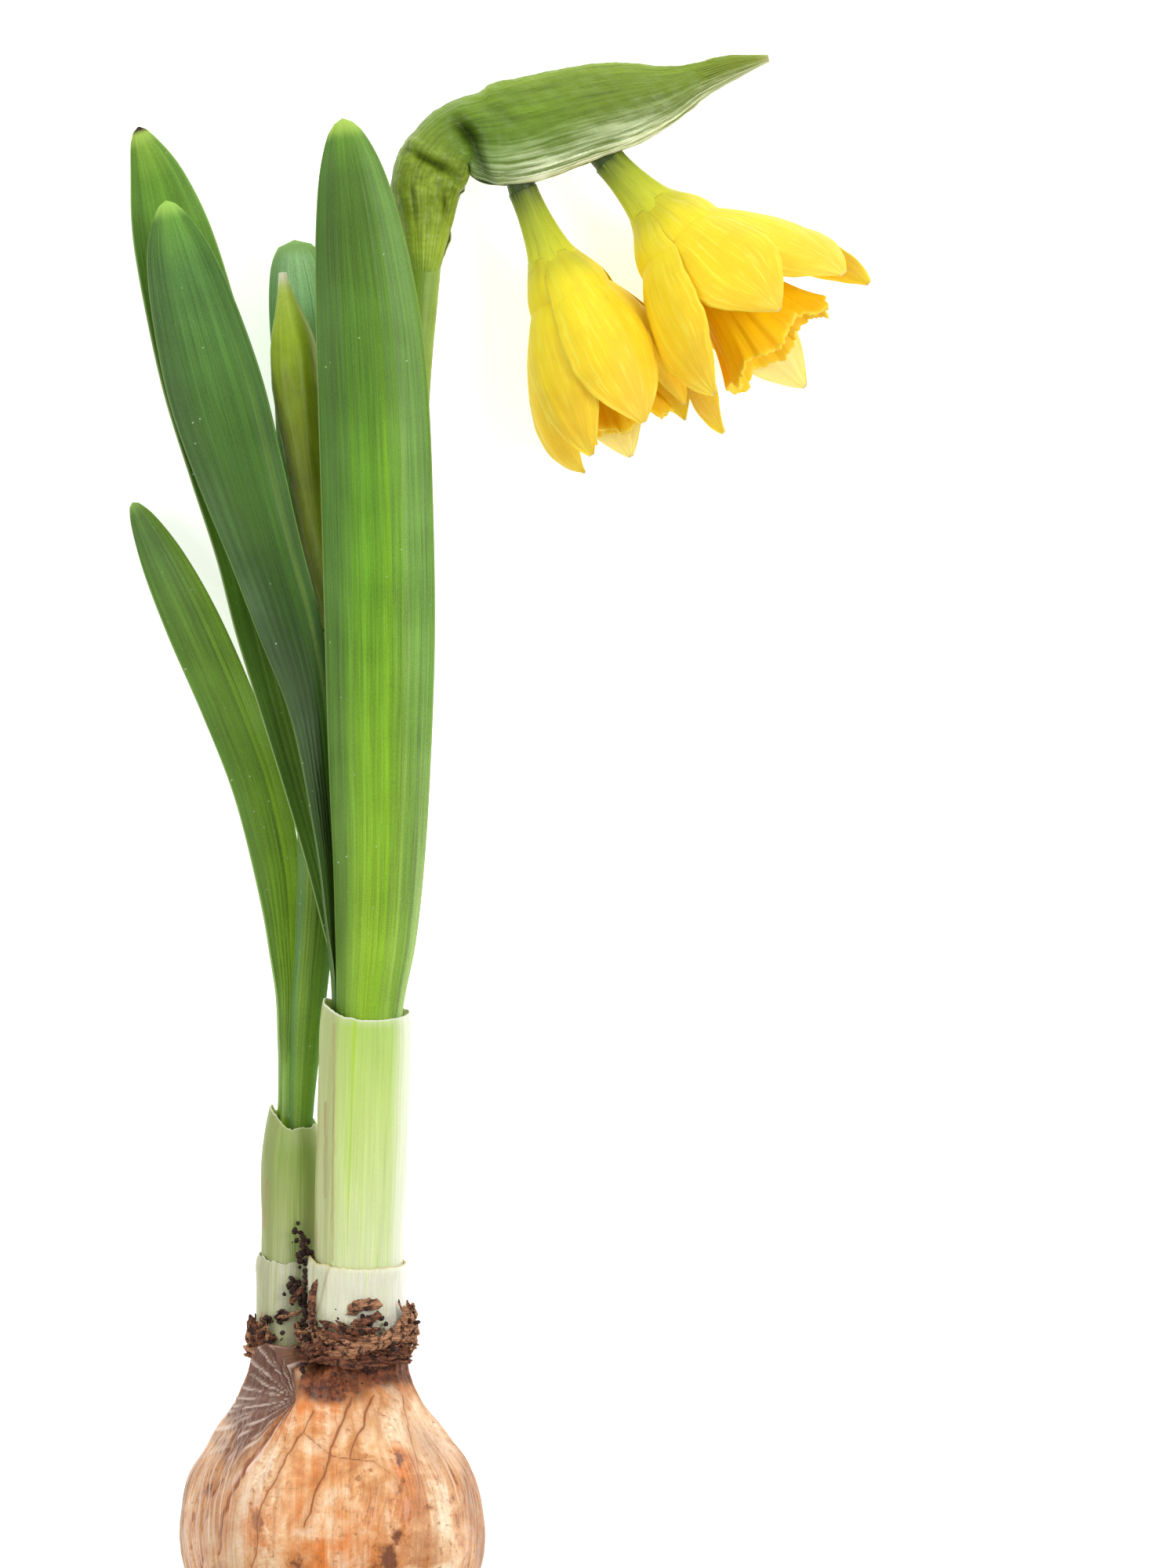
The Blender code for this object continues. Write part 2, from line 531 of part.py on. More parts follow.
def main():
    clear_scene()
    plant = make_collection("daffodil")
    materials = {
        "green": finish_material("leaf_green", GREEN, 0.4),
        "pale_green": finish_material("sheath_pale_green", PALE_GREEN, 0.45),
        "yellow_green": finish_material("tube_yellow_green", YELLOW_GREEN, 0.45),
        "yellow": finish_material("petal_yellow", YELLOW, 0.5),
        "orange_yellow": finish_material("corona_orange_yellow", ORANGE_YELLOW, 0.5),
        "skin": finish_material("bulb_skin", BULB_SKIN, 0.4),
        "brown": finish_material("dry_tunic_brown", DRY_BROWN, 0.8),
        "ivory": finish_material("sheath_ivory", IVORY, 0.5),
    }
    bulb(plant, materials["skin"])
    root_crown(plant, materials["brown"])
    for name, stations in SHEATHS.items():
        shade = materials["ivory" if name.endswith("lower") else "pale_green"]
        sleeve(name, stations, SHEATH_WALL, plant, shade, rise=MOUTH_RISE[name])
    for name, stations in COLLARS.items():
        sleeve(name, stations, COLLAR_WALL, plant, materials["brown"], ruffle=0.7, arc=COLLAR_ARC[name], along=3)
    for name, stations in LEAVES.items():
        leaf(name, stations, plant, materials["green"])
    for name, stations in STALKS.items():
        stalk(name, stations, plant, materials["yellow_green" if name == "bud" else "green"], spacing=6.0)
    spathe(plant, materials["yellow_green"])
    for name, facts in FLOWERS.items():
        build_flower(name, facts, plant, materials)
    centre_on_surface(plant)


main()
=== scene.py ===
import math

import bpy
import numpy as np
from mathutils import Matrix, Vector


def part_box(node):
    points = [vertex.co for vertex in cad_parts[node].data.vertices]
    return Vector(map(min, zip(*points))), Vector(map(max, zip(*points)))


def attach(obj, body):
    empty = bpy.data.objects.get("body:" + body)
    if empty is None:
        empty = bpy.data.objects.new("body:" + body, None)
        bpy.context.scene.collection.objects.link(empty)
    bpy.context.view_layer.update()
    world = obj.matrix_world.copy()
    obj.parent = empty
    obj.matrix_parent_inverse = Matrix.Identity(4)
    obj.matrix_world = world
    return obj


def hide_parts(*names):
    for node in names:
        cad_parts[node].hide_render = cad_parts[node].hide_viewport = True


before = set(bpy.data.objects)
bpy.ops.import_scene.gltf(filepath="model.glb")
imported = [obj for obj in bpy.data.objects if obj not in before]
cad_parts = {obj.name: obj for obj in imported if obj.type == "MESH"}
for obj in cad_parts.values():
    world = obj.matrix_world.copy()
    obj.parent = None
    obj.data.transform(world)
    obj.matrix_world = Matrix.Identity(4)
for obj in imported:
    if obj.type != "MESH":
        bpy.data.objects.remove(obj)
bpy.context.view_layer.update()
print("frame loaded:", len(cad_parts), "nodes")

mm = 0.001
plant = {
    "neckY": 41.0,  # where the shoots leave the bulb, in plant mm
    "droop": 0.06,  # fall towards the surface above the neck, mm per mm
    "viewX": 32.5,  # middle of the view, in plant mm
    "viewY": 112.5,
    "viewHeight": 200.0,  # mm of the plant's plane that the view takes in
}
bulbLow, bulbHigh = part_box("bulb")
plantOrigin = np.array(((bulbLow.x + bulbHigh.x) / 2, bulbLow.y, (bulbLow.z + bulbHigh.z) / 2))


def place(points):
    # plant millimetres to metres in the frame, drooping above the neck
    points = np.array(points, float)
    points[..., 2] -= plant["droop"] * np.maximum(0.0, points[..., 1] - plant["neckY"])
    return points * mm + plantOrigin


def unit(vectors):
    length = np.linalg.norm(vectors, axis=-1, keepdims=True)
    return vectors / np.maximum(length, 1e-12)


def held(values):
    return np.clip(values, 0, 1)


def bell(distance, width):
    return np.exp(-((distance / width) ** 2))


def frameAlong(route):
    # at each point of a route: the way along it, to its side and up from the surface
    tangent = unit(np.gradient(route, axis=0))
    side = unit(np.cross(tangent, np.array((0.0, 0.0, 1.0))))
    return tangent, side, np.cross(side, tangent)


def smoothRows(rows, count):
    # rows of numbers along a Catmull-Rom curve through the given ones
    last = len(rows) - 1
    lengths = [math.dist(rows[i][:3], rows[i + 1][:3]) for i in range(last)]
    total = sum(lengths)
    made = []
    for step in range(count):
        along = total * step / (count - 1)
        span = 0
        while span < last - 1 and along > lengths[span]:
            along -= lengths[span]
            span += 1
        t = min(1.0, along / lengths[span])
        near = (rows[max(0, span - 1)], rows[span], rows[span + 1], rows[min(last, span + 2)])
        made.append([
            0.5 * (2 * b + (c - a) * t + (2 * a - 5 * b + 4 * c - d) * t**2 + (3 * b - a - 3 * c + d) * t**3)
            for a, b, c, d in zip(*near)
        ])
    return np.array(made)


def wander(a, b, seed, octaves=5, growth=1.8):
    # smooth random waves over two coordinates, about -1 to 1
    draw = np.random.default_rng(seed)
    total = 0.0
    for k in range(octaves):
        heading, phase = draw.uniform(0, 2 * math.pi, 2)
        pitch = growth**k
        total = total + np.sin(pitch * (a * math.cos(heading) + b * math.sin(heading)) + phase) / 1.35**k
    return total / 1.9


def spot(x, y, middleX, middleY, radiusX, radiusY, turn=0.0):
    # 1 in the middle of an oval, falling smoothly to 0 outside it
    c, s = math.cos(math.radians(turn)), math.sin(math.radians(turn))
    across, along = (x - middleX) * c + (y - middleY) * s, (y - middleY) * c - (x - middleX) * s
    return np.exp(-((across / radiusX) ** 2 + (along / radiusY) ** 2))


def spots(x, y, ovals):
    # the sum of ovals, each a strength and then what spot takes
    return sum(strength * spot(x, y, *oval) for strength, *oval in ovals)


def lineDistance(x, y, route):
    # distance to a route of points, and how far along it the nearest place is, 0 to 1
    best, share = np.full(x.shape, 1e9), np.zeros(x.shape)
    for i, ((ax, ay), (bx, by)) in enumerate(zip(route, route[1:])):
        dx, dy = bx - ax, by - ay
        t = held(((x - ax) * dx + (y - ay) * dy) / (dx * dx + dy * dy))
        distance = np.hypot(x - ax - t * dx, y - ay - t * dy)
        nearer = distance < best
        best = np.where(nearer, distance, best)
        share = np.where(nearer, (i + t) / (len(route) - 1), share)
    return best, share


def newPiece(name, vertices, faces, material, flow=None, paint=None):
    # a smooth mesh; flow holds a corner's place across and along, paint a number for each vertex
    mesh = bpy.data.meshes.new(name)
    mesh.from_pydata([tuple(v) for v in vertices], [], [tuple(f) for f in faces])
    if flow is not None:
        mesh.uv_layers.new(name="flow").data.foreach_set("uv", np.asarray(flow, np.float32).ravel())
    for label, values in (paint or {}).items():
        mesh.attributes.new(label, "FLOAT", "POINT").data.foreach_set("value", np.asarray(values, np.float32).ravel())
    mesh.shade_smooth()
    mesh.materials.append(material)
    piece = bpy.data.objects.new(name, mesh)
    bpy.context.scene.collection.objects.link(piece)
    return piece


def quads(rows, columns, closed):
    # corner indices (row, column) of a grid's faces; closed joins the last column to the first
    i, j = np.meshgrid(np.arange(rows - 1), np.arange(columns if closed else columns - 1), indexing="ij")
    i, j = i.ravel(), j.ravel()
    return np.stack([np.stack([i, j]), np.stack([i, j + 1]), np.stack([i + 1, j + 1]), np.stack([i + 1, j])], 1)


def shell(name, middle, thickness, material, closed=False, paint=None):
    # a thin sheet through rows x columns of points, with a face on either side and a rim
    rows, columns = middle.shape[:2]
    along = np.gradient(middle, axis=0)
    if closed:
        across = np.roll(middle, -1, axis=1) - np.roll(middle, 1, axis=1)
    else:
        across = np.gradient(middle, axis=1)
    normal = unit(np.cross(across, along))
    half = np.broadcast_to(np.asarray(thickness, float) * mm / 2, (rows, columns))[..., None]
    vertices = np.concatenate([(middle + normal * half).reshape(-1, 3), (middle - normal * half).reshape(-1, 3)])
    count, span = rows * columns, columns if closed else columns - 1
    grid = quads(rows, columns, closed)

    def corner(i, j, back):
        return back * count + i * columns + j % columns, j / span, i / (rows - 1)

    loops = []
    for order, back in ((range(4), 0), (reversed(range(4)), 1)):
        loops.append(np.stack([np.stack(corner(grid[0, k], grid[1, k], back)) for k in order]))
    j = np.arange(span)
    for i, forward in ((0, True), (rows - 1, False)):
        first, second = (j + 1, j) if forward else (j, j + 1)
        end = np.full(span, i)
        loops.append(np.stack([np.stack(corner(end, first, 0)), np.stack(corner(end, second, 0)),
                               np.stack(corner(end, second, 1)), np.stack(corner(end, first, 1))]))
    if not closed:
        i = np.arange(rows - 1)
        for side, forward in ((0, True), (columns - 1, False)):
            first, second = (i, i + 1) if forward else (i + 1, i)
            end = np.full(rows - 1, side)
            loops.append(np.stack([np.stack(corner(first, end, 0)), np.stack(corner(second, end, 0)),
                                   np.stack(corner(second, end, 1)), np.stack(corner(first, end, 1))]))
    corners = np.concatenate([part.transpose(2, 0, 1) for part in loops])
    faces, flow = corners[..., 0].astype(int), corners[..., 1:]
    doubled = {}
    for label, values in (paint or {}).items():
        values = np.broadcast_to(values, (rows, columns)).ravel()
        doubled[label] = np.concatenate([values, values])
    return newPiece(name, vertices, faces, material, flow, doubled)


def skin(name, rings, material, paint=None):
    # a closed form through rings of points, ending in a pole at either end
    rows, columns = rings.shape[:2]
    grid = quads(rows, columns, True)
    vertices = np.concatenate([rings.reshape(-1, 3), rings[:1].mean(1), rings[-1:].mean(1)])
    faces = [[i * columns + j % columns for i, j in zip(grid[0, :, n], grid[1, :, n])] for n in range(grid.shape[2])]
    flow = [(j / columns, i / (rows - 1)) for n in range(grid.shape[2]) for i, j in zip(grid[0, :, n], grid[1, :, n])]
    low, high = rows * columns, rows * columns + 1
    for j in range(columns):
        following = (j + 1) % columns
        faces += [[low, following, j], [high, (rows - 1) * columns + j, (rows - 1) * columns + following]]
        flow += [((j + 0.5) / columns, 0), ((j + 1) / columns, 0), (j / columns, 0)]
        flow += [((j + 0.5) / columns, 1), (j / columns, 1), ((j + 1) / columns, 1)]
    whole = {}
    for label, values in (paint or {}).items():
        values = np.broadcast_to(values, (rows, columns))
        whole[label] = np.concatenate([values.ravel(), [values[0].mean(), values[-1].mean()]])
    return newPiece(name, vertices, faces, material, flow, whole)


def ringsAlong(route, radii, around, ribs, ribDepth):
    # rings of points round a route, with ribs along it; radii in mm
    _, side, face = frameAlong(route)
    angle = -2 * math.pi * np.arange(around) / around
    reach = 1 + ribDepth * np.cos(ribs * angle)
    spread = np.asarray(radii)[:, None] * reach[None, :] * mm
    return (route[:, None, :] + side[:, None, :] * (spread * np.cos(angle))[..., None]
            + face[:, None, :] * (spread * np.sin(angle))[..., None])


def settle(piece, slotName, *nodes):
    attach(piece, "root")
    if nodes:
        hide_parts(*nodes)
    return piece


class Plug:
    # a socket in a node tree, with arithmetic that adds Math nodes
    def __init__(self, tree, socket=None):
        self.tree = tree
        self.socket = socket

    def add(self, kind, settings=None, inputs=None, out=0):
        node = self.tree.nodes.new(kind)
        for label, value in (settings or {}).items():
            if label == "stops":
                elements = node.color_ramp.elements
                while len(elements) < len(value):
                    elements.new(0.5)
                for element, (position, colour) in zip(elements, value):
                    element.position, element.color = position, (*colour, 1.0)
            else:
                setattr(node, label, value)
        for label, value in (inputs or {}).items():
            if isinstance(value, Plug):
                self.tree.links.new(value.socket, node.inputs[label])
            else:
                node.inputs[label].default_value = value
        return Plug(self.tree, node.outputs[out]) if len(node.outputs) else None

    def part(self, label):
        return Plug(self.tree, self.socket.node.outputs[label])

    def maths(self, operation, other=None, third=None, swapped=False):
        values = [self, other, third] if not swapped else [other, self]
        inputs = {i: value for i, value in enumerate(values) if value is not None}
        return self.add("ShaderNodeMath", {"operation": operation}, inputs)

    def __add__(self, other):
        return self.maths("ADD", other)

    def __sub__(self, other):
        return self.maths("SUBTRACT", other)

    def __rsub__(self, other):
        return self.maths("SUBTRACT", other, swapped=True)

    def __mul__(self, other):
        return self.maths("MULTIPLY", other)

    def __truediv__(self, other):
        return self.maths("DIVIDE", other)

    def __pow__(self, other):
        return self.maths("POWER", other)

    __radd__ = __add__
    __rmul__ = __mul__

    def bounded(self):
        return self.maths("MINIMUM", 1.0).maths("MAXIMUM", 0.0)

    def between(self, low, high):
        settings = {"interpolation_type": "SMOOTHSTEP"}
        return self.add("ShaderNodeMapRange", settings, {0: self, 1: low, 2: high})

    def band(self, middle, width):
        return (((self - middle) / width) ** 2 * -1).maths("EXPONENT")

    def mix(self, low, high):
        # this number sets the share of the second colour
        low, high = (value if isinstance(value, Plug) else (*value, 1.0) for value in (low, high))
        return self.add("ShaderNodeMix", {"data_type": "RGBA"}, {0: self, 6: low, 7: high}, out=2)

    def scaled(self, amount):
        return self.add("ShaderNodeVectorMath", {"operation": "SCALE"}, {0: self, "Scale": amount})

    def ramp(self, stops):
        return self.add("ShaderNodeValToRGB", {"stops": stops}, {0: self})

    def vector(self, x, y, z=0.0):
        return self.add("ShaderNodeCombineXYZ", None, {0: x, 1: y, 2: z})

    def noise(self, where, scale=1.0, detail=2.0, rough=0.5, twist=0.0):
        inputs = {"Vector": where, "Scale": scale, "Detail": detail, "Roughness": rough, "Distortion": twist}
        return self.add("ShaderNodeTexNoise", None, inputs)

    def cells(self, where, scale):
        return self.add("ShaderNodeTexVoronoi", None, {"Vector": where, "Scale": scale})

    def random(self, low, high, seed):
        # a number, or a vector where the ends are tuples, for each point
        kind, first, out = ("FLOAT_VECTOR", 0, 0) if isinstance(low, tuple) else ("FLOAT", 2, 1)
        inputs = {first: low, first + 1: high, "Seed": seed}
        return self.add("FunctionNodeRandomValue", {"data_type": kind}, inputs, out)

    def rod(self, corners, segments):
        # a rod, where its points lie, and the share of its height that each has reached
        inputs = {"Vertices": corners, "Side Segments": segments, "Radius": 1.0, "Depth": 1.0}
        where = self.add("ShaderNodeSeparateXYZ", None, {0: self.add("GeometryNodeInputPosition")})
        return self.add("GeometryNodeMeshCylinder", None, inputs), where, where.part(2) + 0.5

    def painted(self, label):
        return self.add("ShaderNodeAttribute", {"attribute_name": label}, None, out=2)


class Finish:
    # a principled material with the places that patterns start from; flesh holds how much light
    # goes under the surface, how far for red, green and blue, and the distance in mm
    def __init__(self, name, roughness, flesh=None, **steady):
        self.material = bpy.data.materials.new(name)
        self.material.use_nodes = True
        tree = self.material.node_tree
        self.shader = tree.nodes["Principled BSDF"]
        steady = {"Roughness": roughness, "Specular_IOR_Level": 0.25, **steady}
        if flesh:
            weight, radius, distance = flesh
            steady.update(Subsurface_Weight=weight, Subsurface_Radius=radius, Subsurface_Scale=distance * mm)
        for label, value in steady.items():
            self.shader.inputs[label.replace("_", " ")].default_value = value
        self.start = Plug(tree)
        flow = self.start.add("ShaderNodeUVMap", {"uv_map": "flow"})
        split = self.start.add("ShaderNodeSeparateXYZ", None, {0: flow})
        self.across, self.along = split, split.part(1)
        way = self.across * (2 * math.pi)
        self.turned, self.up = way.maths("COSINE"), way.maths("SINE")  # of a tube, once round
        here = self.start.add("ShaderNodeTexCoord", None, None, out=3)
        shift = tuple(-value / mm for value in plantOrigin)
        self.place = self.start.add("ShaderNodeMapping", None, {0: here, 1: shift, 3: (1 / mm,) * 3})  # plant mm

    def streaks(self, across, along, seed, *texture):
        # noise drawn out along a sheet
        return self.start.noise(self.start.vector(self.across * across, self.along * along, seed), 1.0, *texture)

    def ringStreaks(self, around, along, seed, *texture):
        # noise drawn out along a tube, with no seam where it closes
        where = self.start.vector(self.turned * around, self.up * around, self.along * along + seed)
        return self.start.noise(where, 1.0, *texture)

    def cloud(self, *texture):
        return self.start.noise(self.place, *texture)

    def layered(self, colour, *layers):
        # colours laid over one another, each by its own share
        for share, shade in layers:
            colour = share.mix(colour, shade)
        return colour

    def relief(self, *layers):
        # bumps on top of one another: height, depth in mm, strength
        made = {}
        for height, depth, strength in layers:
            inputs = {"Height": height, "Distance": depth * mm, "Strength": strength, **made}
            made = {"Normal": self.start.add("ShaderNodeBump", None, inputs)}
        return made["Normal"]

    def lay(self, **plugs):
        for label, plug in plugs.items():
            self.material.node_tree.links.new(plug.socket, self.shader.inputs[label.replace("_", " ")])
        return self.material


# Camera, floor and lights
studio = {
    "lens": 500.0,  # mm, on a 36 mm wide sensor
    "focusHeight": -2.0,  # plant mm, the level that is drawn to scale
    "key": {"at": (0.55, 0.25, 0.75), "size": 0.50, "power": 4.2},
    "fill": {"at": (-0.7, 0.1, 0.65), "size": 0.7, "power": 2.8},
    "back": {"at": (0.1, 0.9, 0.5), "size": 0.6, "power": 1.8},
    "sky": 0.50,
    "floorGlow": 0.6,
}
middleOfView = place((plant["viewX"], plant["viewY"], studio["focusHeight"]))
cameraData = bpy.data.cameras.new("camera")
cameraData.lens = studio["lens"]
cameraData.sensor_width = 36.0
cameraData.clip_end = 20.0
camera = bpy.data.objects.new("camera", cameraData)
camera.location = middleOfView + np.array((0, 0, studio["lens"] / 36.0 * plant["viewHeight"] * mm))
bpy.context.scene.collection.objects.link(camera)
bpy.context.scene.camera = camera
bpy.context.scene.view_settings.view_transform = "Standard"

for label in ("key", "fill", "back"):
    facts = studio[label]
    lamp = bpy.data.lights.new(label, "AREA")
    lamp.shape = "DISK"
    lamp.size = facts["size"]
    lamp.energy = facts["power"]
    holder = bpy.data.objects.new(label, lamp)
    holder.location = facts["at"]
    holder.rotation_euler = (Vector((0, 0, 0)) - Vector(facts["at"])).to_track_quat("-Z", "Y").to_euler()
    bpy.context.scene.collection.objects.link(holder)
sky = bpy.data.worlds.new("sky")
sky.use_nodes = True
sky.node_tree.nodes["Background"].inputs["Color"].default_value = (1.0, 1.0, 1.0, 1.0)
sky.node_tree.nodes["Background"].inputs["Strength"].default_value = studio["sky"]
bpy.context.scene.world = sky

floorFinish = Finish("pale_floor", 0.8, Emission_Strength=studio["floorGlow"])
floorFinish.shader.inputs["Base Color"].default_value = (0.95, 0.95, 0.95, 1.0)
floorFinish.shader.inputs["Emission Color"].default_value = (1.0, 1.0, 1.0, 1.0)
floorSize, floorLevel = 6.0, -0.0004
corners = ((0, 0), (1, 0), (1, 1), (0, 1))
floor = newPiece("floor", [((2 * x - 1) * floorSize, (2 * y - 1) * floorSize, floorLevel) for x, y in corners],
                 [(0, 1, 2, 3)], floorFinish.material, corners)
print("camera, lights and floor made")


# Leaves
leafShape = {
    "rows": 170,
    "columns": 36,
    "thickness": 0.8,  # mm at the middle
    "marginThickness": 0.22,
    "grooves": 9,
    "grooveDepth": 0.035,
    "waviness": 0.16,
}
# Route rows: x, y, z, half-width, half-angle of the section's arc, turn about the length.
# Colours run base to tip; band is where the lime stripe lies across (0 to 1). Rim and paleFoot are
# how strong the pale margin and the pale lower right side are.
# Left and right are painted shade and painted light, laid over the blade's left and right halves as if lit from one
# side.
leaves = {
    "leaf_front": {
        "route": (
            (3.3, 50.0, 5.7, 3.5, 46, 0), (4.1, 70.0, 6.0, 3.9, 44, 0), (4.7, 83.5, 6.3, 4.15, 40, 0),
            (5.5, 93.0, 6.4, 5.1, 34, 0), (5.9, 103.0, 6.4, 5.8, 28, 0), (6.0, 116.0, 6.5, 6.5, 26, 0),
            (6.0, 132.5, 6.7, 7.0, 26, 0), (5.6, 150.0, 6.8, 7.1, 26, 0), (5.1, 162.5, 6.8, 7.0, 26, 0),
            (4.4, 172.5, 6.8, 6.6, 26, 0), (3.35, 182.5, 6.7, 5.6, 25, 0), (2.3, 190.5, 6.5, 4.1, 22, 0),
            (1.5, 195.5, 6.2, 2.2, 15, 0), (1.2, 197.3, 6.0, 0.5, 6, 0)),
        "colours": ((0.22, (0.25, 0.43, 0.018)), (0.36, (0.20, 0.38, 0.016)), (0.60, (0.125, 0.305, 0.012)),
                    (0.78, (0.085, 0.20, 0.014)), (0.95, (0.075, 0.165, 0.016)), (1.0, (0.15, 0.33, 0.03))),
        "left": (0.046, 0.130, 0.007), "right": (0.155, 0.31, 0.048), "lime": (0.215, 0.43, 0.010),
        "band": 0.60, "tip": (0.42, 0.62, 0.10), "paleFoot": 0.8, "seed": 1},
    "leaf_left_front": {
        "route": (
            (-0.4, 50.0, 2.1, 1.5, -42, -84), (0.0, 70.0, 2.3, 1.6, -42, -84), (0.3, 83.5, 2.5, 1.6, -40, -78),
            (-0.1, 93.0, 3.1, 1.9, -38, -64), (-0.8, 103.0, 3.4, 2.1, -34, -48), (-1.7, 112.5, 3.3, 2.3, -30, -32),
            (-3.0, 122.5, 3.1, 3.0, -27, -16), (-5.6, 132.5, 2.9, 4.1, -24, -6), (-8.6, 142.0, 2.6, 4.7, -24, -2),
            (-11.9, 152.5, 2.0, 5.6, -22, 0), (-14.9, 162.5, 1.3, 6.1, -20, 0), (-17.7, 172.5, 0.4, 5.4, -18, 0),
            (-19.9, 180.5, -0.5, 4.0, -16, 0), (-21.0, 185.2, -1.2, 2.0, -10, 0), (-21.4, 187.0, -1.5, 0.5, -4, 0)),
        # the dark stop at 0.40 is painted shadow, where the blade passes under the front leaf
        "colours": ((0.22, (0.12, 0.26, 0.015)), (0.40, (0.016, 0.040, 0.003)), (0.62, (0.026, 0.072, 0.004)),
                    (0.80, (0.062, 0.155, 0.018)), (0.93, (0.095, 0.225, 0.045)), (1.0, (0.15, 0.34, 0.04))),
        "left": (0.045, 0.105, 0.020), "right": (0.045, 0.125, 0.010), "lime": (0.05, 0.145, 0.006), "rim": 0.2,
        "band": 0.72, "tip": (0.36, 0.62, 0.10), "seed": 2},
    "leaf_left_back": {
        "route": (
            (2.9, 50.0, 0.2, 2.0, -33, 0), (3.5, 70.0, 0.3, 2.1, -33, 0), (3.8, 83.5, 0.3, 2.1, -30, 0),
            (1.6, 93.0, -0.6, 2.5, -28, 0), (-0.7, 103.0, -1.1, 2.8, -28, 0), (-3.1, 112.5, -1.4, 3.2, -26, 0),
            (-5.5, 122.5, -1.6, 3.9, -24, 0), (-7.8, 132.5, -1.9, 4.7, -22, 0), (-10.0, 142.5, -2.4, 5.1, -20, 0),
            (-12.9, 153.0, -3.3, 5.6, -20, 0), (-15.9, 163.5, -4.6, 5.9, -20, 0), (-18.4, 173.5, -6.0, 5.7, -20, 0),
            (-20.8, 183.0, -7.7, 5.0, -20, 0), (-22.7, 190.0, -8.9, 3.5, -18, 0), (-24.5, 194.8, -9.4, 1.7, -12, 0),
            (-25.1, 196.7, -9.5, 0.5, -4, 0)),
        "colours": ((0.25, (0.10, 0.21, 0.015)), (0.50, (0.085, 0.18, 0.012)), (0.72, (0.085, 0.19, 0.012)),
                    (0.86, (0.08, 0.185, 0.014)), (0.95, (0.12, 0.27, 0.020)), (1.0, (0.28, 0.47, 0.05))),
        "left": (0.07, 0.17, 0.012), "right": (0.15, 0.31, 0.045), "lime": (0.15, 0.32, 0.022),
        "band": 0.80, "tip": (0.40, 0.58, 0.10), "scorched": True, "seed": 3},
    "leaf_outer_left": {
        "route": (
            (-7.2, 49.0, -2.6, 1.5, -36, -78), (-7.2, 60.0, -2.7, 1.7, -38, -78), (-6.7, 69.5, -2.7, 1.6, -38, -74),
            (-6.2, 82.5, -3.4, 1.9, -34, -50), (-6.4, 92.5, -4.0, 2.4, -30, -26), (-7.4, 102.5, -4.7, 3.1, -26, -10),
            (-9.7, 112.5, -5.3, 3.35, -22, -2), (-13.4, 122.5, -6.0, 3.55, -20, 0), (-17.8, 132.5, -7.1, 3.55, -18, 0),
            (-21.6, 140.5, -8.4, 2.9, -16, 0), (-24.4, 146.0, -9.6, 1.7, -10, 0), (-25.8, 148.5, -10.2, 0.5, -4, 0)),
        "colours": ((0.16, (0.27, 0.46, 0.018)), (0.40, (0.18, 0.34, 0.012)), (0.62, (0.135, 0.28, 0.012)),
                    (0.80, (0.125, 0.25, 0.024)), (0.95, (0.115, 0.23, 0.05)), (1.0, (0.15, 0.28, 0.05))),
        "left": (0.090, 0.20, 0.022), "right": (0.19, 0.36, 0.012), "lime": (0.24, 0.43, 0.010),
        "band": 0.72, "tip": (0.28, 0.46, 0.10), "seed": 4},
    "leaf_back": {
        "route": (
            (-4.5, 49.0, -1.5, 1.4, 36, 0), (-4.4, 60.0, -1.4, 1.5, 36, 0), (-4.0, 71.0, -1.3, 1.5, 34, 0),
            (-3.3, 82.5, -1.6, 2.1, 34, 0), (-2.4, 93.0, -2.3, 2.4, 30, 0), (-1.7, 103.5, -2.9, 2.8, 28, 0),
            (-1.3, 113.0, -3.4, 3.7, 26, 0), (-1.3, 124.0, -3.9, 4.5, 24, 0), (-1.7, 142.5, -4.9, 5.0, 24, 0),
            (-2.7, 162.5, -5.9, 4.9, 22, 0), (-3.8, 173.0, -6.3, 4.5, 20, 0), (-4.6, 178.5, -6.5, 3.6, 16, 0),
            (-5.0, 181.2, -6.6, 2.3, 8, 0), (-5.1, 182.1, -6.6, 0.8, 4, 0)),
        "colours": ((0.18, (0.12, 0.24, 0.014)), (0.40, (0.11, 0.22, 0.010)), (0.65, (0.08, 0.18, 0.014)),
                    (0.85, (0.20, 0.40, 0.13)), (0.93, (0.36, 0.66, 0.32)), (1.0, (0.42, 0.70, 0.30))),
        "left": (0.16, 0.33, 0.09), "right": (0.14, 0.30, 0.06), "lime": (0.21, 0.34, 0.012),
        "band": 0.30, "tip": (0.32, 0.56, 0.16), "seed": 5},
}


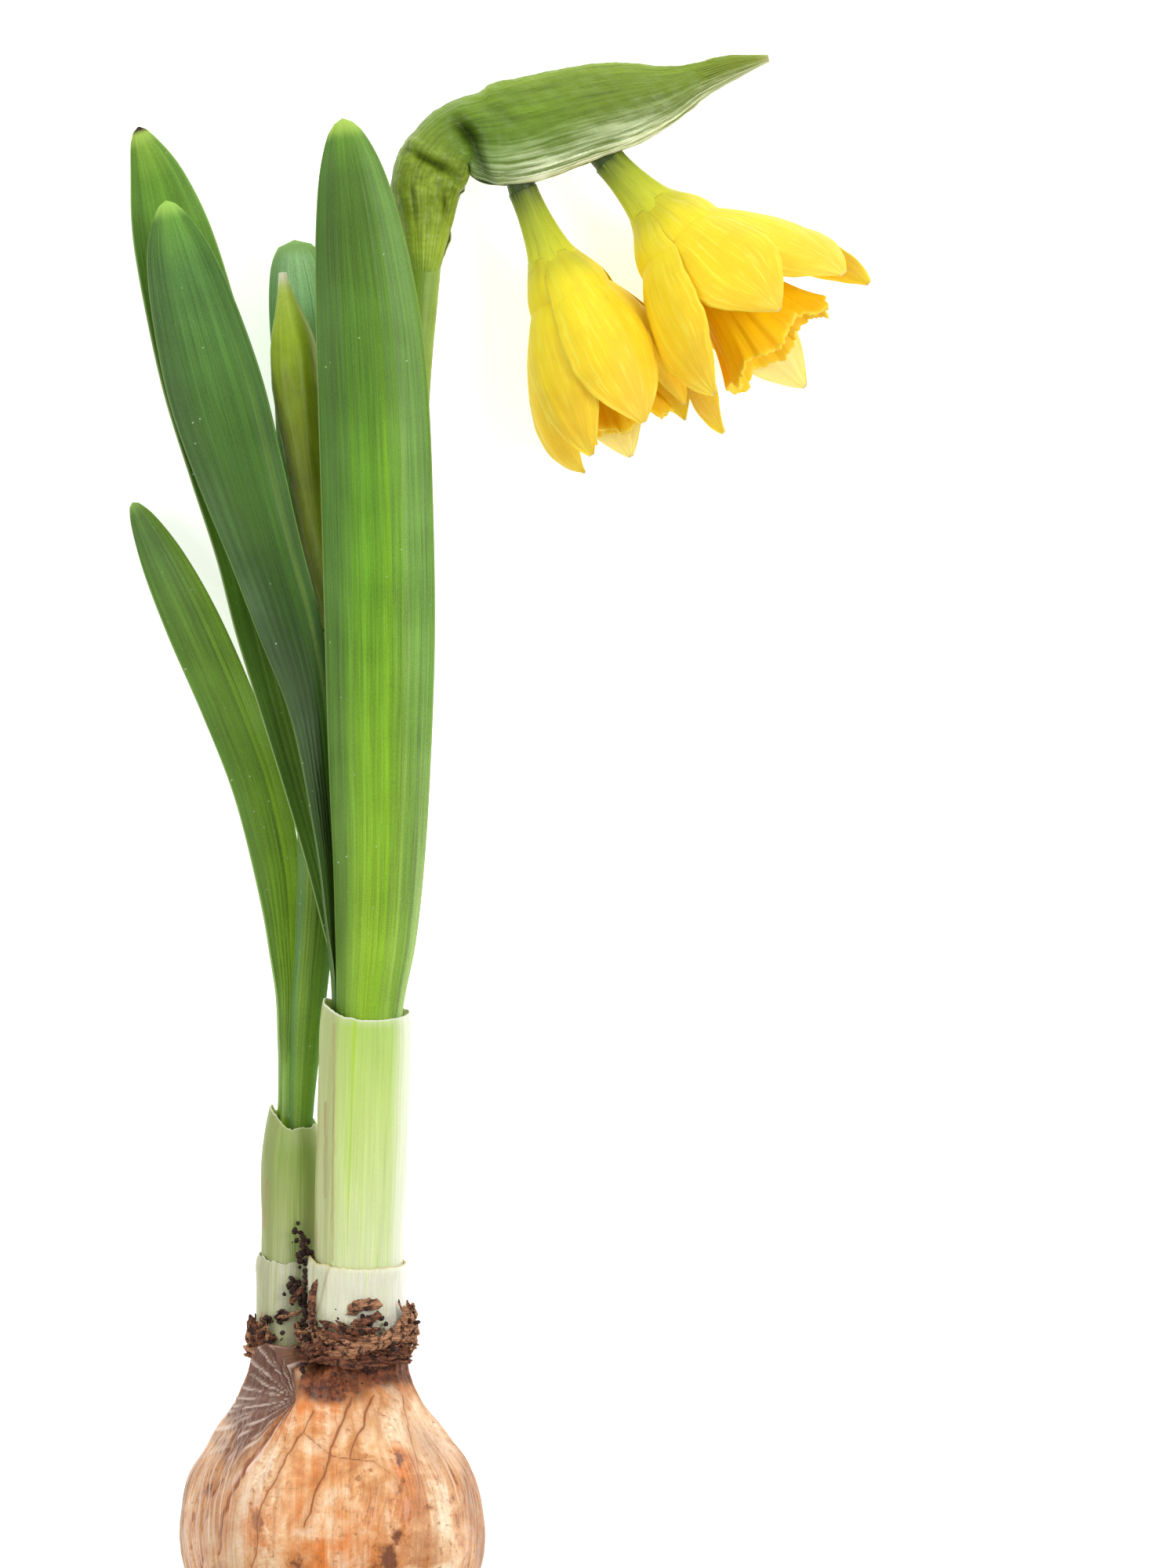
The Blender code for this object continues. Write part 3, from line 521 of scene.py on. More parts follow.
def leafFinish(name, facts):
    finish = Finish(name, 0.40, flesh=(0.06, (0.3, 1.0, 0.1), 0.6), Coat_Roughness=0.25)
    across, along, seed = finish.across, finish.along, float(facts["seed"])
    broad = finish.streaks(9, 1.3, seed, 3, 0.55)
    fine = finish.streaks(46, 5, seed, 3, 0.6)
    thread = finish.streaks(130, 12, seed, 2, 0.5)
    grain, patch = finish.cloud(5.5, 2, 0.6), finish.cloud(0.09, 2, 0.5)
    foot = across.between(0.80, 0.99) * along.between(0.52, 0.30) * facts.get("paleFoot", 0.0)
    stripe = across.band(facts["band"], 0.075) * along.between(0.97, 0.55) * (broad * 1.3).bounded()
    second = across.band(facts["band"] + 0.13, 0.035) * along.between(0.93, 0.6) * 0.22
    # painted shade and painted light on the blade's two halves, from the left and right colours
    colour = finish.layered(
        along.ramp(facts["colours"]), (across.between(0.42, 0.02) * 0.75, facts["left"]),
        (across.between(0.62, 0.98) * 0.70, facts["right"]), (foot, (0.36, 0.50, 0.17)),
        (stripe * 0.75, facts["lime"]), (second, (0.36, 0.56, 0.10)))
    streaks = (broad - 0.5) * 0.95 + (fine - 0.5) * 1.15 + (thread - 0.5) * 0.9
    colour = colour.scaled(1 + streaks + (grain - 0.5) * 0.75 + (patch - 0.5) * 0.75)
    dots = finish.start.cells(finish.place, 0.62).between(0.10, 0.04) * finish.cloud(0.2).between(0.5, 0.62)
    edge = (across.between(0.022, 0.0) + across.between(0.982, 1.0)) * along.between(0.2, 0.3)
    cap = (along + (broad - 0.5) * 0.01).between(0.978, 0.997)
    rim = edge * facts.get("rim", 0.7)
    layers = [(dots * 0.7, (0.52, 0.66, 0.42)), (rim, (0.36, 0.50, 0.16)), (cap, facts["tip"])]
    if facts.get("scorched"):
        layers.append(((along + (fine - 0.5) * 0.006).between(0.991, 0.996), (0.05, 0.025, 0.01)))
    return finish.lay(
        Base_Color=finish.layered(colour, *layers), Roughness=0.38 + grain * 0.16 + (broad - 0.5) * 0.12,
        Normal=finish.relief((fine * 0.7 + broad * 0.8 + thread * 0.35, 0.07, 0.7), (grain, 0.02, 0.5)),
        Coat_Weight=0.03 + patch.between(0.4, 0.7) * 0.10)


def buildLeaf(name, facts):
    rows, columns = leafShape["rows"], leafShape["columns"]
    stations = smoothRows(facts["route"], rows)
    middles = place(stations[:, :3])
    tangent, flatSide, face = frameAlong(middles)
    turn = np.radians(stations[:, 5])[:, None]
    side = flatSide * np.cos(turn) + face * np.sin(turn)
    normal = unit(np.cross(side, tangent))
    share = np.linspace(0, 1, rows)
    halfWidth = np.maximum(stations[:, 3], 0.12)
    halfWidth[-1] = 0.12
    channel = stations[:, 4]
    channel = np.radians(np.where(np.abs(channel) < 1, 1.0, channel))
    radius = halfWidth / np.sin(channel)
    u = np.linspace(-1, 1, columns)
    edge = np.abs(u)[None, :]
    bend = u[None, :] * channel[:, None]
    seed = facts["seed"]
    wave = wander(share * 26, np.zeros(rows), seed, 4)[:, None] * edge**2 * np.sign(u)[None, :]
    wave = wave + wander(share * 15, np.zeros(rows), seed + 50, 3)[:, None] * edge**2
    groove = np.cos(u * math.pi * leafShape["grooves"])[None, :] * (1 - edge**4)
    fade = held((1 - share) * 12)[:, None] * held((share - 0.22) * 12)[:, None]
    lift = (leafShape["waviness"] * wave * fade + leafShape["grooveDepth"] * groove * fade) * mm
    across = (radius[:, None] * np.sin(bend) * mm)[..., None] * side[:, None, :]
    drop = (-radius[:, None] * (1 - np.cos(bend)) * mm + lift)[..., None] * normal[:, None, :]
    thick = leafShape["marginThickness"] + (leafShape["thickness"] - leafShape["marginThickness"]) * (1 - edge**2.5)
    thick = thick * np.clip(halfWidth / 2.0, 0.35, 1)[:, None]
    return shell(name, middles[:, None, :] + across + drop, thick, leafFinish(name + "_green", facts))


for name, facts in leaves.items():
    settle(buildLeaf("blade_" + name[5:], facts), "leaf_green", name)
print("leaves made:", len(leaves))


# Sheaths round the feet of the shoots
sheathShape = {
    "wall": 0.4, "lipWall": 0.14, "ribs": 46, "ribDepth": 0.025,
    "flareFrom": 0.90, "flare": -0.16,  # share of the height above which the lip turns in, and how far in mm
    "soiled": 41.5,
}
# Route rows: x, y, z, half-width, half-depth. Rise and sag are how far the mouth goes up on its
# left and down in front, in mm. Lines are brown marks on the front, as plan points. Soiled is the
# height, in plant mm, that the soil reaches up to.
# The two side colours are painted shade on the left side and painted light on the right side.
sheaths = {
    "sheath_right_upper": {
        "piece": "sleeve_right_upper", "rows": 190, "columns": 150,
        "route": ((3.0, 41.6, 3.0, 5.3, 4.0), (3.4, 57.0, 3.2, 5.5, 4.1), (3.8, 70.0, 3.3, 5.6, 4.2),
                  (4.2, 83.5, 3.5, 5.6, 4.2)),
        "rise": 1.5, "sag": 1.0, "ragged": 0.10, "seed": 11, "slot": "sheath_pale_green",
        "colours": ((0.0, (0.72, 0.76, 0.50)), (0.45, (0.62, 0.74, 0.30)), (0.72, (0.54, 0.70, 0.20)),
                    (0.95, (0.43, 0.62, 0.13)), (1.0, (0.55, 0.68, 0.30))),
        "stripe": (0.40, 0.60, 0.05), "shadeSide": (0.40, 0.42, 0.20), "litSide": (0.86, 0.89, 0.72),
        "lip": (0.78, 0.82, 0.62),
        "lines": (((-1.75, 46.0), (-2.0, 60.0), (-1.6, 78.0)), ((0.2, 52.0), (0.25, 66.0), (0.35, 82.0)),
                  ((-0.8, 60.0), (-0.7, 72.0)))},
    "sheath_right_lower": {
        "piece": "sleeve_right_lower", "rows": 80, "columns": 170,
        "route": ((3.0, 41.4, 3.0, 6.1, 4.7), (3.1, 46.5, 3.05, 6.1, 4.75), (3.2, 51.8, 3.1, 6.2, 4.8)),
        "rise": 0.7, "sag": 1.0, "ragged": 0.2, "seed": 12, "slot": "sheath_ivory",
        "colours": ((0.0, (0.62, 0.56, 0.38)), (0.4, (0.74, 0.73, 0.56)), (0.85, (0.76, 0.75, 0.58)),
                    (1.0, (0.74, 0.72, 0.50))),
        "stripe": (0.66, 0.72, 0.42), "shadeSide": (0.52, 0.54, 0.34), "litSide": (0.88, 0.87, 0.78),
        "lip": (0.62, 0.46, 0.20), "brownLip": True,
        "lines": (((0.1, 52.5), (-0.6, 50.0), (-1.3, 47.0), (-1.9, 45.0)), ((-2.2, 51.5), (-2.4, 44.0)))},
    "sheath_left_upper": {
        "piece": "sleeve_left_upper", "rows": 130, "columns": 120,
        "route": ((-5.6, 41.6, -2.4, 3.2, 3.0), (-5.3, 56.0, -2.5, 3.6, 3.3), (-5.2, 64.0, -2.5, 3.6, 3.3),
                  (-5.0, 69.3, -2.4, 3.0, 3.0)),
        "rise": 2.2, "sag": 0.7, "ragged": 0.2, "seed": 13, "slot": "sheath_pale_green",
        "colours": ((0.0, (0.50, 0.50, 0.32)), (0.40, (0.44, 0.48, 0.22)), (0.62, (0.36, 0.43, 0.14)),
                    (0.85, (0.28, 0.38, 0.09)), (1.0, (0.36, 0.44, 0.17))),
        "stripe": (0.20, 0.32, 0.03), "shadeSide": (0.26, 0.30, 0.09), "litSide": (0.46, 0.52, 0.25),
        "lip": (0.62, 0.66, 0.42), "lines": (((-8.3, 62.0), (-8.6, 56.0)),)},
    "sheath_left_lower": {
        "piece": "sleeve_left_lower", "rows": 80, "columns": 130,
        "route": ((-5.2, 36.6, -1.2, 3.6, 3.6), (-5.6, 41.4, -2.4, 3.9, 3.7), (-5.5, 46.5, -2.5, 4.0, 3.8),
                  (-5.4, 52.0, -2.5, 4.2, 3.9)), "soiled": 38.5,
        "rise": 0.5, "sag": 0.5, "ragged": 0.3, "seed": 14, "slot": "sheath_ivory",
        "colours": ((0.0, (0.40, 0.36, 0.20)), (0.4, (0.52, 0.52, 0.33)), (0.8, (0.55, 0.56, 0.38)),
                    (1.0, (0.58, 0.58, 0.42))),
        "stripe": (0.40, 0.46, 0.16), "shadeSide": (0.36, 0.38, 0.20), "litSide": (0.56, 0.57, 0.40),
        "lip": (0.70, 0.70, 0.55), "lines": (((-3.2, 50.0), (-3.0, 46.0)),)},
}


def sheathFinish(name, facts):
    finish = Finish(name, 0.38, flesh=(0.22, (0.9, 1.0, 0.4), 1.2), Coat_Roughness=0.3)
    start, along, seed = finish.start, finish.along, float(facts["seed"])
    finish.up = finish.up * -1  # a sheath's columns run the other way round
    turned, up = finish.turned, finish.up  # 1 on the right, -1 on the left; 1 on the front
    broad = finish.ringStreaks(3.2, 0.7, seed, 3, 0.55)
    fine = finish.ringStreaks(13, 1.2, seed, 3, 0.6)
    thread = finish.ringStreaks(34, 3, seed, 2, 0.5)
    grain, mottle = finish.cloud(4.5, 3, 0.6), finish.ringStreaks(6.24, 2.64, 0.0, 4, 0.6)
    stripes = fine.between(0.49, 0.58) * (broad.between(0.36, 0.58)) * along.between(0.02, 0.35)
    # painted shade on the left side and painted light on the right side; the fold strip on the left, a real fold, is
    # darkened with the same painted shade
    fold = turned.between(-0.58, -0.64) * up.between(0.0, 0.3)
    colour = finish.layered(
        along.ramp(facts["colours"]), (stripes * 0.8, facts["stripe"]),
        (turned.between(-0.25, -1.0) * 0.6 * (0.6 + fine * 0.8), facts["shadeSide"]),
        (fold * (0.30 + fine.between(0.45, 0.6) * 0.5), facts["shadeSide"]),
        (turned.between(0.55, 1.0) * 0.85, facts["litSide"]))
    shade = 1 + (thread - 0.5) * 0.28 + (fine - 0.5) * 0.35 + (grain - 0.5) * 0.16 + (mottle - 0.5) * 0.22
    lipStart, lipEnd = (0.955, 0.99) if facts.get("brownLip") else (0.984, 0.998)
    lip = (along + (fine - 0.5) * 0.010).between(lipStart, lipEnd)
    colour = finish.layered(
        colour.scaled(shade), (lip * 0.9, facts["lip"]),
        (start.painted("mark") * (mottle * 2.2 - 0.55), (0.34, 0.20, 0.09)),
        (start.painted("dirt") * grain.between(0.42, 0.62) * 0.9, (0.07, 0.035, 0.02)))
    return finish.lay(
        Base_Color=colour, Roughness=0.30 + mottle * 0.22, Coat_Weight=mottle.between(0.45, 0.7) * 0.3,
        Normal=finish.relief((fine * 0.8 + thread * 0.5 + broad * 0.4, 0.10, 0.7), (mottle, 0.10, 0.4)))


def buildSheath(name, facts):
    rows, columns = facts["rows"], facts["columns"]
    stations = smoothRows(facts["route"], rows)
    x, y, z, halfWidth, halfDepth = (stations[:, i][:, None] for i in range(5))
    share = np.linspace(0, 1, rows)[:, None]
    angle = -2 * math.pi * np.arange(columns)[None, :] / columns
    c, s = np.cos(angle), np.sin(angle)
    seed = facts["seed"]
    torn = wander(c * 9, s * 9, seed, 6, 1.7)
    lift = facts["rise"] * np.maximum(-c, 0) ** 2 - facts["sag"] * s + facts["ragged"] * torn
    rib = sheathShape["ribDepth"] * np.cos(sheathShape["ribs"] * angle + 2 * wander(share * 3, angle * 0, seed + 1))
    dent = 0.10 * wander(c * 2 + share * 4, s * 2 + share * 3, seed + 2, 4) + rib
    lipFrom = sheathShape["flareFrom"]
    reach = dent + sheathShape["flare"] * held((share - lipFrom) / (1 - lipFrom)) ** 2
    # the share to the third power keeps the foot level while the mouth is shaped
    ys = y + share**3 * lift + 0 * angle
    xs, zs = x + (halfWidth + reach) * c, z + (halfDepth + reach) * s
    middle = place(np.stack([xs, ys, zs], -1))
    front = held(s * 4 + 0.5) + 0 * ys
    mark = np.zeros(ys.shape)
    for route in facts["lines"]:
        distance, _ = lineDistance(xs + 0.05 * wander(ys * 1.1, xs, seed + 5), ys, route)
        mark = np.maximum(mark, bell(distance, 0.15) * front)
    dirt = held(1.3 - (ys - facts.get("soiled", sheathShape["soiled"])) / 3.5)
    dirt = dirt * (0.6 + 0.5 * wander(xs * 1.4, ys * 1.1, seed + 7))
    thick = sheathShape["lipWall"] + (sheathShape["wall"] - sheathShape["lipWall"]) * held((1 - share) * 9)
    paint = {"mark": held(mark), "dirt": held(dirt)}
    return shell(facts["piece"], middle, thick, sheathFinish(name + "_skin", facts), closed=True, paint=paint)


for name, facts in sheaths.items():
    settle(buildSheath(name, facts), facts["slot"], name)
print("sheaths made:", len(sheaths))


# Stalks and bud
def stemFinish(name, facts):
    finish = Finish(name, 0.42, flesh=(0.08, (0.4, 1.0, 0.15), 0.7), Coat_Weight=0.12, Coat_Roughness=0.3)
    line = finish.ringStreaks(facts["lines"], 2.5, float(facts["seed"]), 3, 0.6)
    grain, patch = finish.cloud(5.0, 2, 0.6), finish.cloud(0.35, 3, 0.55)
    # painted light: one side of the stalk is paler, as lit from that side
    colour = (finish.turned.between(0.3, 1.0) * 0.5).mix(finish.along.ramp(facts["colours"]), facts["litSide"])
    colour = colour.scaled(1 + (line - 0.5) * 0.7 + (grain - 0.5) * 0.45 + (patch - 0.5) * 0.5)
    if "tip" in facts:
        colour = (finish.along + (line - 0.5) * 0.03).between(0.955, 0.992).mix(colour, facts["tip"])
    return finish.lay(Base_Color=colour, Roughness=0.34 + grain * 0.18,
                      Normal=finish.relief((line, 0.12, 0.6), (grain, 0.03, 0.6)))


# Route rows: x, y, z, radius.
# The side colour is painted light on one side.
stalks = {
    "scape_flowering": {
        "piece": "flower_stem", "slot": "leaf_green", "rows": 160, "around": 40, "ribs": 2, "ribDepth": 0.07,
        "route": ((4.9, 47.0, 2.7, 1.6), (5.4, 70.0, 3.2, 1.75), (5.9, 83.0, 3.5, 1.8), (7.0, 97.0, 3.2, 1.8),
                  (8.0, 112.5, 2.8, 1.85), (9.4, 142.5, 2.0, 1.85), (10.5, 164.5, 1.2, 1.85), (11.5, 177.6, 0.5, 1.98),
                  (11.6, 180.4, 0.45, 1.95), (11.7, 183.0, 0.3, 1.5)),
        "colours": ((0.0, (0.30, 0.42, 0.08)), (0.6, (0.22, 0.38, 0.04)), (0.85, (0.20, 0.33, 0.04)),
                    (1.0, (0.21, 0.33, 0.03))),
        "litSide": (0.38, 0.54, 0.14), "lines": 9, "seed": 21},
    "scape_of_bud": {
        "piece": "bud_stem", "slot": "leaf_green", "rows": 110, "around": 30, "ribs": 2, "ribDepth": 0.06,
        "route": ((1.4, 47.0, 2.5, 1.0), (2.0, 70.0, 2.7, 1.0), (2.4, 83.0, 2.9, 1.0), (2.7, 93.0, 2.6, 1.0),
                  (2.5, 103.0, 2.2, 1.05), (2.0, 113.0, 1.8, 1.1), (1.2, 124.0, 1.2, 1.2), (0.1, 132.0, 0.6, 1.3)),
        "colours": ((0.0, (0.26, 0.36, 0.09)), (0.5, (0.12, 0.22, 0.03)), (1.0, (0.13, 0.20, 0.02))),
        "litSide": (0.20, 0.32, 0.06), "lines": 7, "seed": 22},
    "bud": {
        "piece": "closed_bud", "slot": "tube_yellow_green", "rows": 180, "around": 72, "ribs": 9, "ribDepth": 0.014,
        "route": ((0.0, 132.4, 0.5, 1.3), (-0.9, 137.5, 0.4, 1.6), (-2.0, 143.0, 0.2, 2.0), (-3.2, 152.5, 0.0, 2.6),
                  (-4.2, 160.0, -0.2, 3.1), (-4.8, 165.0, -0.3, 3.2), (-5.3, 169.5, -0.4, 2.7),
                  (-5.9, 173.5, -0.5, 1.5), (-6.3, 176.0, -0.5, 0.8), (-6.5, 177.8, -0.5, 0.5)),
        "colours": ((0.0, (0.24, 0.30, 0.03)), (0.2, (0.21, 0.27, 0.02)), (0.42, (0.13, 0.17, 0.006)),
                    (0.66, (0.17, 0.235, 0.006)), (0.8, (0.25, 0.36, 0.010)), (0.93, (0.36, 0.47, 0.05)),
                    (1.0, (0.50, 0.58, 0.20))),
        "litSide": (0.26, 0.33, 0.03), "tip": (0.66, 0.66, 0.46), "lines": 8, "seed": 23},
}
for name, facts in stalks.items():
    stations = smoothRows(facts["route"], facts["rows"])
    around = facts["around"]
    rings = ringsAlong(place(stations[:, :3]), stations[:, 3], around, facts["ribs"], facts["ribDepth"])
    centre = rings.mean(1, keepdims=True)
    row, column = np.arange(facts["rows"])[:, None], np.arange(around)[None, :]
    ripple = 1 + 0.02 * wander(row * 0.15, column * 0.5, facts["seed"])
    settle(skin(facts["piece"], centre + (rings - centre) * ripple[..., None], stemFinish(name + "_skin", facts)),
           facts["slot"], name)
print("stalks and bud made")


# Spathe: the bent hood over the flower stalks
spatheShape = {
    "rows": 260, "columns": 150, "wall": 0.40, "marginWall": 0.12, "veins": 38, "veinDepth": 0.03,
    "dentScale": 1.45,
    # x, y, z, half-height, half-depth, gap in degrees
    "route": (
        (11.5, 177.6, 0.5, 1.55, 1.6, 4), (11.6, 178.8, 0.45, 2.05, 2.15, 10), (11.7, 181.2, 0.4, 2.7, 2.8, 20),
        (11.9, 185.5, 0.2, 3.7, 3.4, 30),
        (12.0, 189.0, 0.1, 4.5, 3.7, 40), (13.2, 192.2, 0.0, 4.5, 3.8, 50), (14.6, 194.2, 0.0, 4.1, 3.9, 60),
        (16.8, 195.3, -0.1, 4.6, 4.0, 70), (20.2, 195.3, -0.2, 6.3, 4.0, 78), (24.4, 196.0, -0.3, 6.6, 3.9, 78),
        (31.0, 197.8, -0.5, 6.1, 3.8, 86), (37.0, 199.2, -0.7, 5.4, 3.2, 80), (42.1, 200.5, -0.9, 3.8, 2.2, 60),
        (46.3, 202.2, -1.0, 2.3, 1.4, 56), (50.4, 203.8, -1.1, 1.6, 1.0, 56), (53.5, 204.7, -1.2, 0.9, 0.8, 56),
        (55.6, 205.2, -1.2, 0.45, 0.6, 56)),
    "colours": (
        (0.0, (0.30, 0.44, 0.06)), (0.06, (0.33, 0.45, 0.04)), (0.12, (0.28, 0.38, 0.02)), (0.24, (0.20, 0.29, 0.03)),
        (0.33, (0.10, 0.19, 0.013)), (0.45, (0.13, 0.23, 0.018)), (0.62, (0.135, 0.215, 0.018)),
        (0.82, (0.17, 0.25, 0.020)), (0.97, (0.22, 0.27, 0.025)), (1.0, (0.45, 0.38, 0.18))),
    # dents and folds on the front: x, y, radii, turn in degrees, depth in mm (less than 0 stands out)
    "dents": (
        (16.9, 195.6, 2.3, 1.2, -48, 1.25), (18.6, 192.0, 0.9, 3.0, 22, 0.95), (11.6, 193.2, 3.4, 0.55, -32, -0.55),
        (12.8, 191.4, 3.4, 0.65, -30, 0.95), (14.2, 186.2, 0.5, 2.4, 8, 0.55), (10.2, 186.5, 0.4, 3.4, 6, 0.30),
        (12.2, 183.8, 0.4, 2.6, -4, 0.25), (21.0, 198.2, 2.6, 0.8, -25, 0.35), (15.2, 198.0, 1.8, 0.5, 30, -0.35),
        (20.6, 189.9, 0.7, 1.6, 30, -0.45)),
}


def spatheFinish():
    finish = Finish("spathe_skin", 0.36, flesh=(0.18, (0.6, 1.0, 0.2), 1.0), Coat_Roughness=0.25)
    start, across, along = finish.start, finish.across, finish.along
    broad = finish.streaks(12, 1.6, 3.0, 3, 0.55)
    fine = finish.streaks(52, 5.5, 5.0, 3, 0.6, 0.3)
    line = finish.streaks(95, 7, 8.0, 2, 0.5)
    blot, grain = finish.cloud(0.75, 4, 0.62), finish.cloud(5.0, 2, 0.6)
    streak = fine * 0.55 + line * 0.45
    top = across.band(0.5, 0.17) * along.between(0.26, 0.36) * (0.25 + broad * 0.7)
    veil = start.painted("veil") * (streak.between(0.40, 0.60) + 0.12)
    olive = blot.ramp(((0.34, (0.13, 0.19, 0.010)), (0.52, (0.20, 0.29, 0.015)), (0.70, (0.30, 0.42, 0.03))))
    colour = finish.layered(
        along.ramp(spatheShape["colours"]), (top, (0.27, 0.40, 0.035)), (veil, (0.80, 0.86, 0.58)),
        (start.painted("pouch") * 0.85, olive))
    shade = 1 + (streak - 0.5) * 1.8 + (broad - 0.5) * 0.5 + (grain - 0.5) * 0.3
    edge = across.between(0.022, 0.004) + across.between(0.978, 0.996)
    # painted shadow: the dents are darkened by up to 62 percent
    colour = (edge * 0.7).mix(colour.scaled(shade * (1 - start.painted("hollow") * 0.62)), (0.55, 0.56, 0.30))
    return finish.lay(
        Base_Color=colour, Roughness=0.28 + blot * 0.2 + grain * 0.08, Coat_Weight=blot.between(0.4, 0.7) * 0.35,
        Normal=finish.relief((fine * 0.7 + line * 0.45 + broad * 0.5, 0.13, 0.7), (blot, 0.25, 0.5)))


def buildSpathe():
    rows, columns = spatheShape["rows"], spatheShape["columns"]
    stations = smoothRows(spatheShape["route"], rows)
    middles = place(stations[:, :3])
    tangent = unit(np.gradient(middles, axis=0))
    outward = unit(np.stack([-tangent[:, 1], tangent[:, 0], np.zeros(rows)], -1))
    depth = unit(np.cross(tangent, outward))
    u = np.linspace(-1, 1, columns)[None, :]
    share = np.linspace(0, 1, rows)[:, None]
    reach = math.pi - np.radians(stations[:, 5])[:, None] / 2
    x, y, _, tall, deep = (stations[:, i][:, None] for i in range(5))
    around, below = np.cos(math.pi * u), np.sin(reach * u)
    up, aside = tall * around, deep * below
    x, y = x + outward[:, 0][:, None] * up, y + outward[:, 1][:, None] * up
    front = held(u * 6)
    push = np.zeros(x.shape)
    hollow = np.zeros(x.shape)
    for *oval, depthOfDent in spatheShape["dents"]:
        dent = spot(x, y, *oval) * front
        push -= spatheShape["dentScale"] * depthOfDent * dent
        # each sunken dent also gets painted shadow, as strong as the dent is deep
        hollow += max(0.0, depthOfDent) * dent
    bent = spot(x, y, 15.5, 193.5, 6.0, 5.5)
    push += bent * 0.16 * wander(x * 0.9, y * 0.7, 41, 4) + 0.10 * wander(x * 0.7, y * 1.2, 42, 5)
    push += spatheShape["veinDepth"] * np.cos(spatheShape["veins"] * math.pi * u + 0.8 * wander(share * 9, u, 43))
    margin = np.abs(u) ** 10
    push += 0.35 * margin * wander(share * 34, u * 0.5, 44, 5)
    push *= np.clip((1 - share) * 10, 0.1, 1)
    outward, depth = outward[:, None, :], depth[:, None, :]
    radial = unit(outward * (around * 0.25)[..., None] + depth * below[..., None])
    points = (middles[:, None, :] + outward * (up * mm)[..., None] + depth * (aside * mm)[..., None]
              + radial * (push * mm)[..., None])
    wall = spatheShape["marginWall"] + (spatheShape["wall"] - spatheShape["marginWall"]) * (1 - np.abs(u) ** 6)
    wall = wall * np.clip(tall / 1.5, 0.3, 1)
    veil = held((np.abs(u) - 0.50) / 0.42) ** 1.3 * held((share - 0.33) * 8)
    veil = veil * np.clip(1.15 + 0.35 * wander(x * 0.35, y * 0.6, 45), 0, 1.2)
    pouch = held((0.29 - share) * 14) * held((share - 0.06) * 9)
    return shell("spathe_hood", points, wall, spatheFinish(),
                 paint={"veil": held(veil), "pouch": pouch, "hollow": held(hollow)})


settle(buildSpathe(), "tube_yellow_green", "spathe")
print("spathe made")


# Flowers
# Mouth is the middle of the tube's mouth, faces the way that the flower looks. Tepals: azimuth in
# degrees round the axis (0 up, 90 to the right), length, half-width, lean away from the axis at
# the foot, middle and tip, standing-off in mm, how orange it has aged, and how many degrees the
# blade turns about its length.
flowers = {
    "flower_left": {
        "mouth": (29.75, 175.3, -1.1), "faces": (0.395, -0.918, 0.0), "tube": (14.2, 5.0),
        "stalk": ((10.8, 178.6, 1.4, 0.7), (11.2, 183.5, 1.5, 0.8), (12.6, 189.0, 1.5, 0.8), (15.8, 192.7, 1.5, 0.9),
                  (20.0, 193.4, 1.0, 1.2), (22.8, 192.0, 0.1, 1.6), (23.95, 189.2, -0.3, 1.8)),
        "tepals": {
            "tepal_back_left": (-76, 22.8, 5.0, (34, 4, -44), 0.0, 0.20, 42),
            "tepal_front_left": (-36, 20.8, 4.9, (34, 4, -20), 0.85, 0.30, 6),
            "tepal_front": (15, 19.6, 5.6, (34, 4, -20), 1.7, 0.08, 0),
            "tepal_front_right": (70, 19.4, 5.2, (34, 4, -16), 0.85, 0.60, 12),
            "tepal_back_right": (128, 21.2, 5.2, (34, 4, -14), 1.2, 0.25, -20),
            "tepal_back": (184, 22.8, 5.4, (34, 4, -16), 0.85, 0.0, 0),
        },
        "corona": (18.8, 6.0), "seed": 31},
    "flower_right": {
        "mouth": (43.9, 182.5, 0.0), "faces": (0.675, -0.738, 0.08), "tube": (13.0, 5.6),
        "stalk": ((12.2, 178.6, -0.4, 0.7), (12.6, 183.5, -0.8, 0.8), (14.2, 189.0, -1.2, 0.8),
                  (18.5, 193.9, -1.5, 0.9), (25.0, 196.1, -1.3, 1.2), (31.5, 195.4, -0.7, 1.65),
                  (34.75, 192.45, -0.5, 1.85)),
        "tepals": {
            "tepal_back_left": (-92, 23.4, 5.0, (30, 16, 2), 0.0, 0.25, 48),
            "tepal_front_left": (-43, 20.8, 5.7, (44, 20, -4), 1.8, 0.25, 0),
            "tepal_front": (13, 18.4, 6.0, (44, 20, -8), 1.1, 0.30, 0),
            "tepal_front_right": (62, 20.0, 7.4, (42, 20, 0), 0.7, 0.0, 20),
            "tepal_back_right": (104, 22.6, 5.2, (40, 22, 4), -0.2, 0.12, -28),
            "tepal_back": (184, 24.8, 5.6, (28, 12, -8), 0.75, 0.0, 0),
        },
        "corona": (19.4, 8.2), "seed": 32},
}
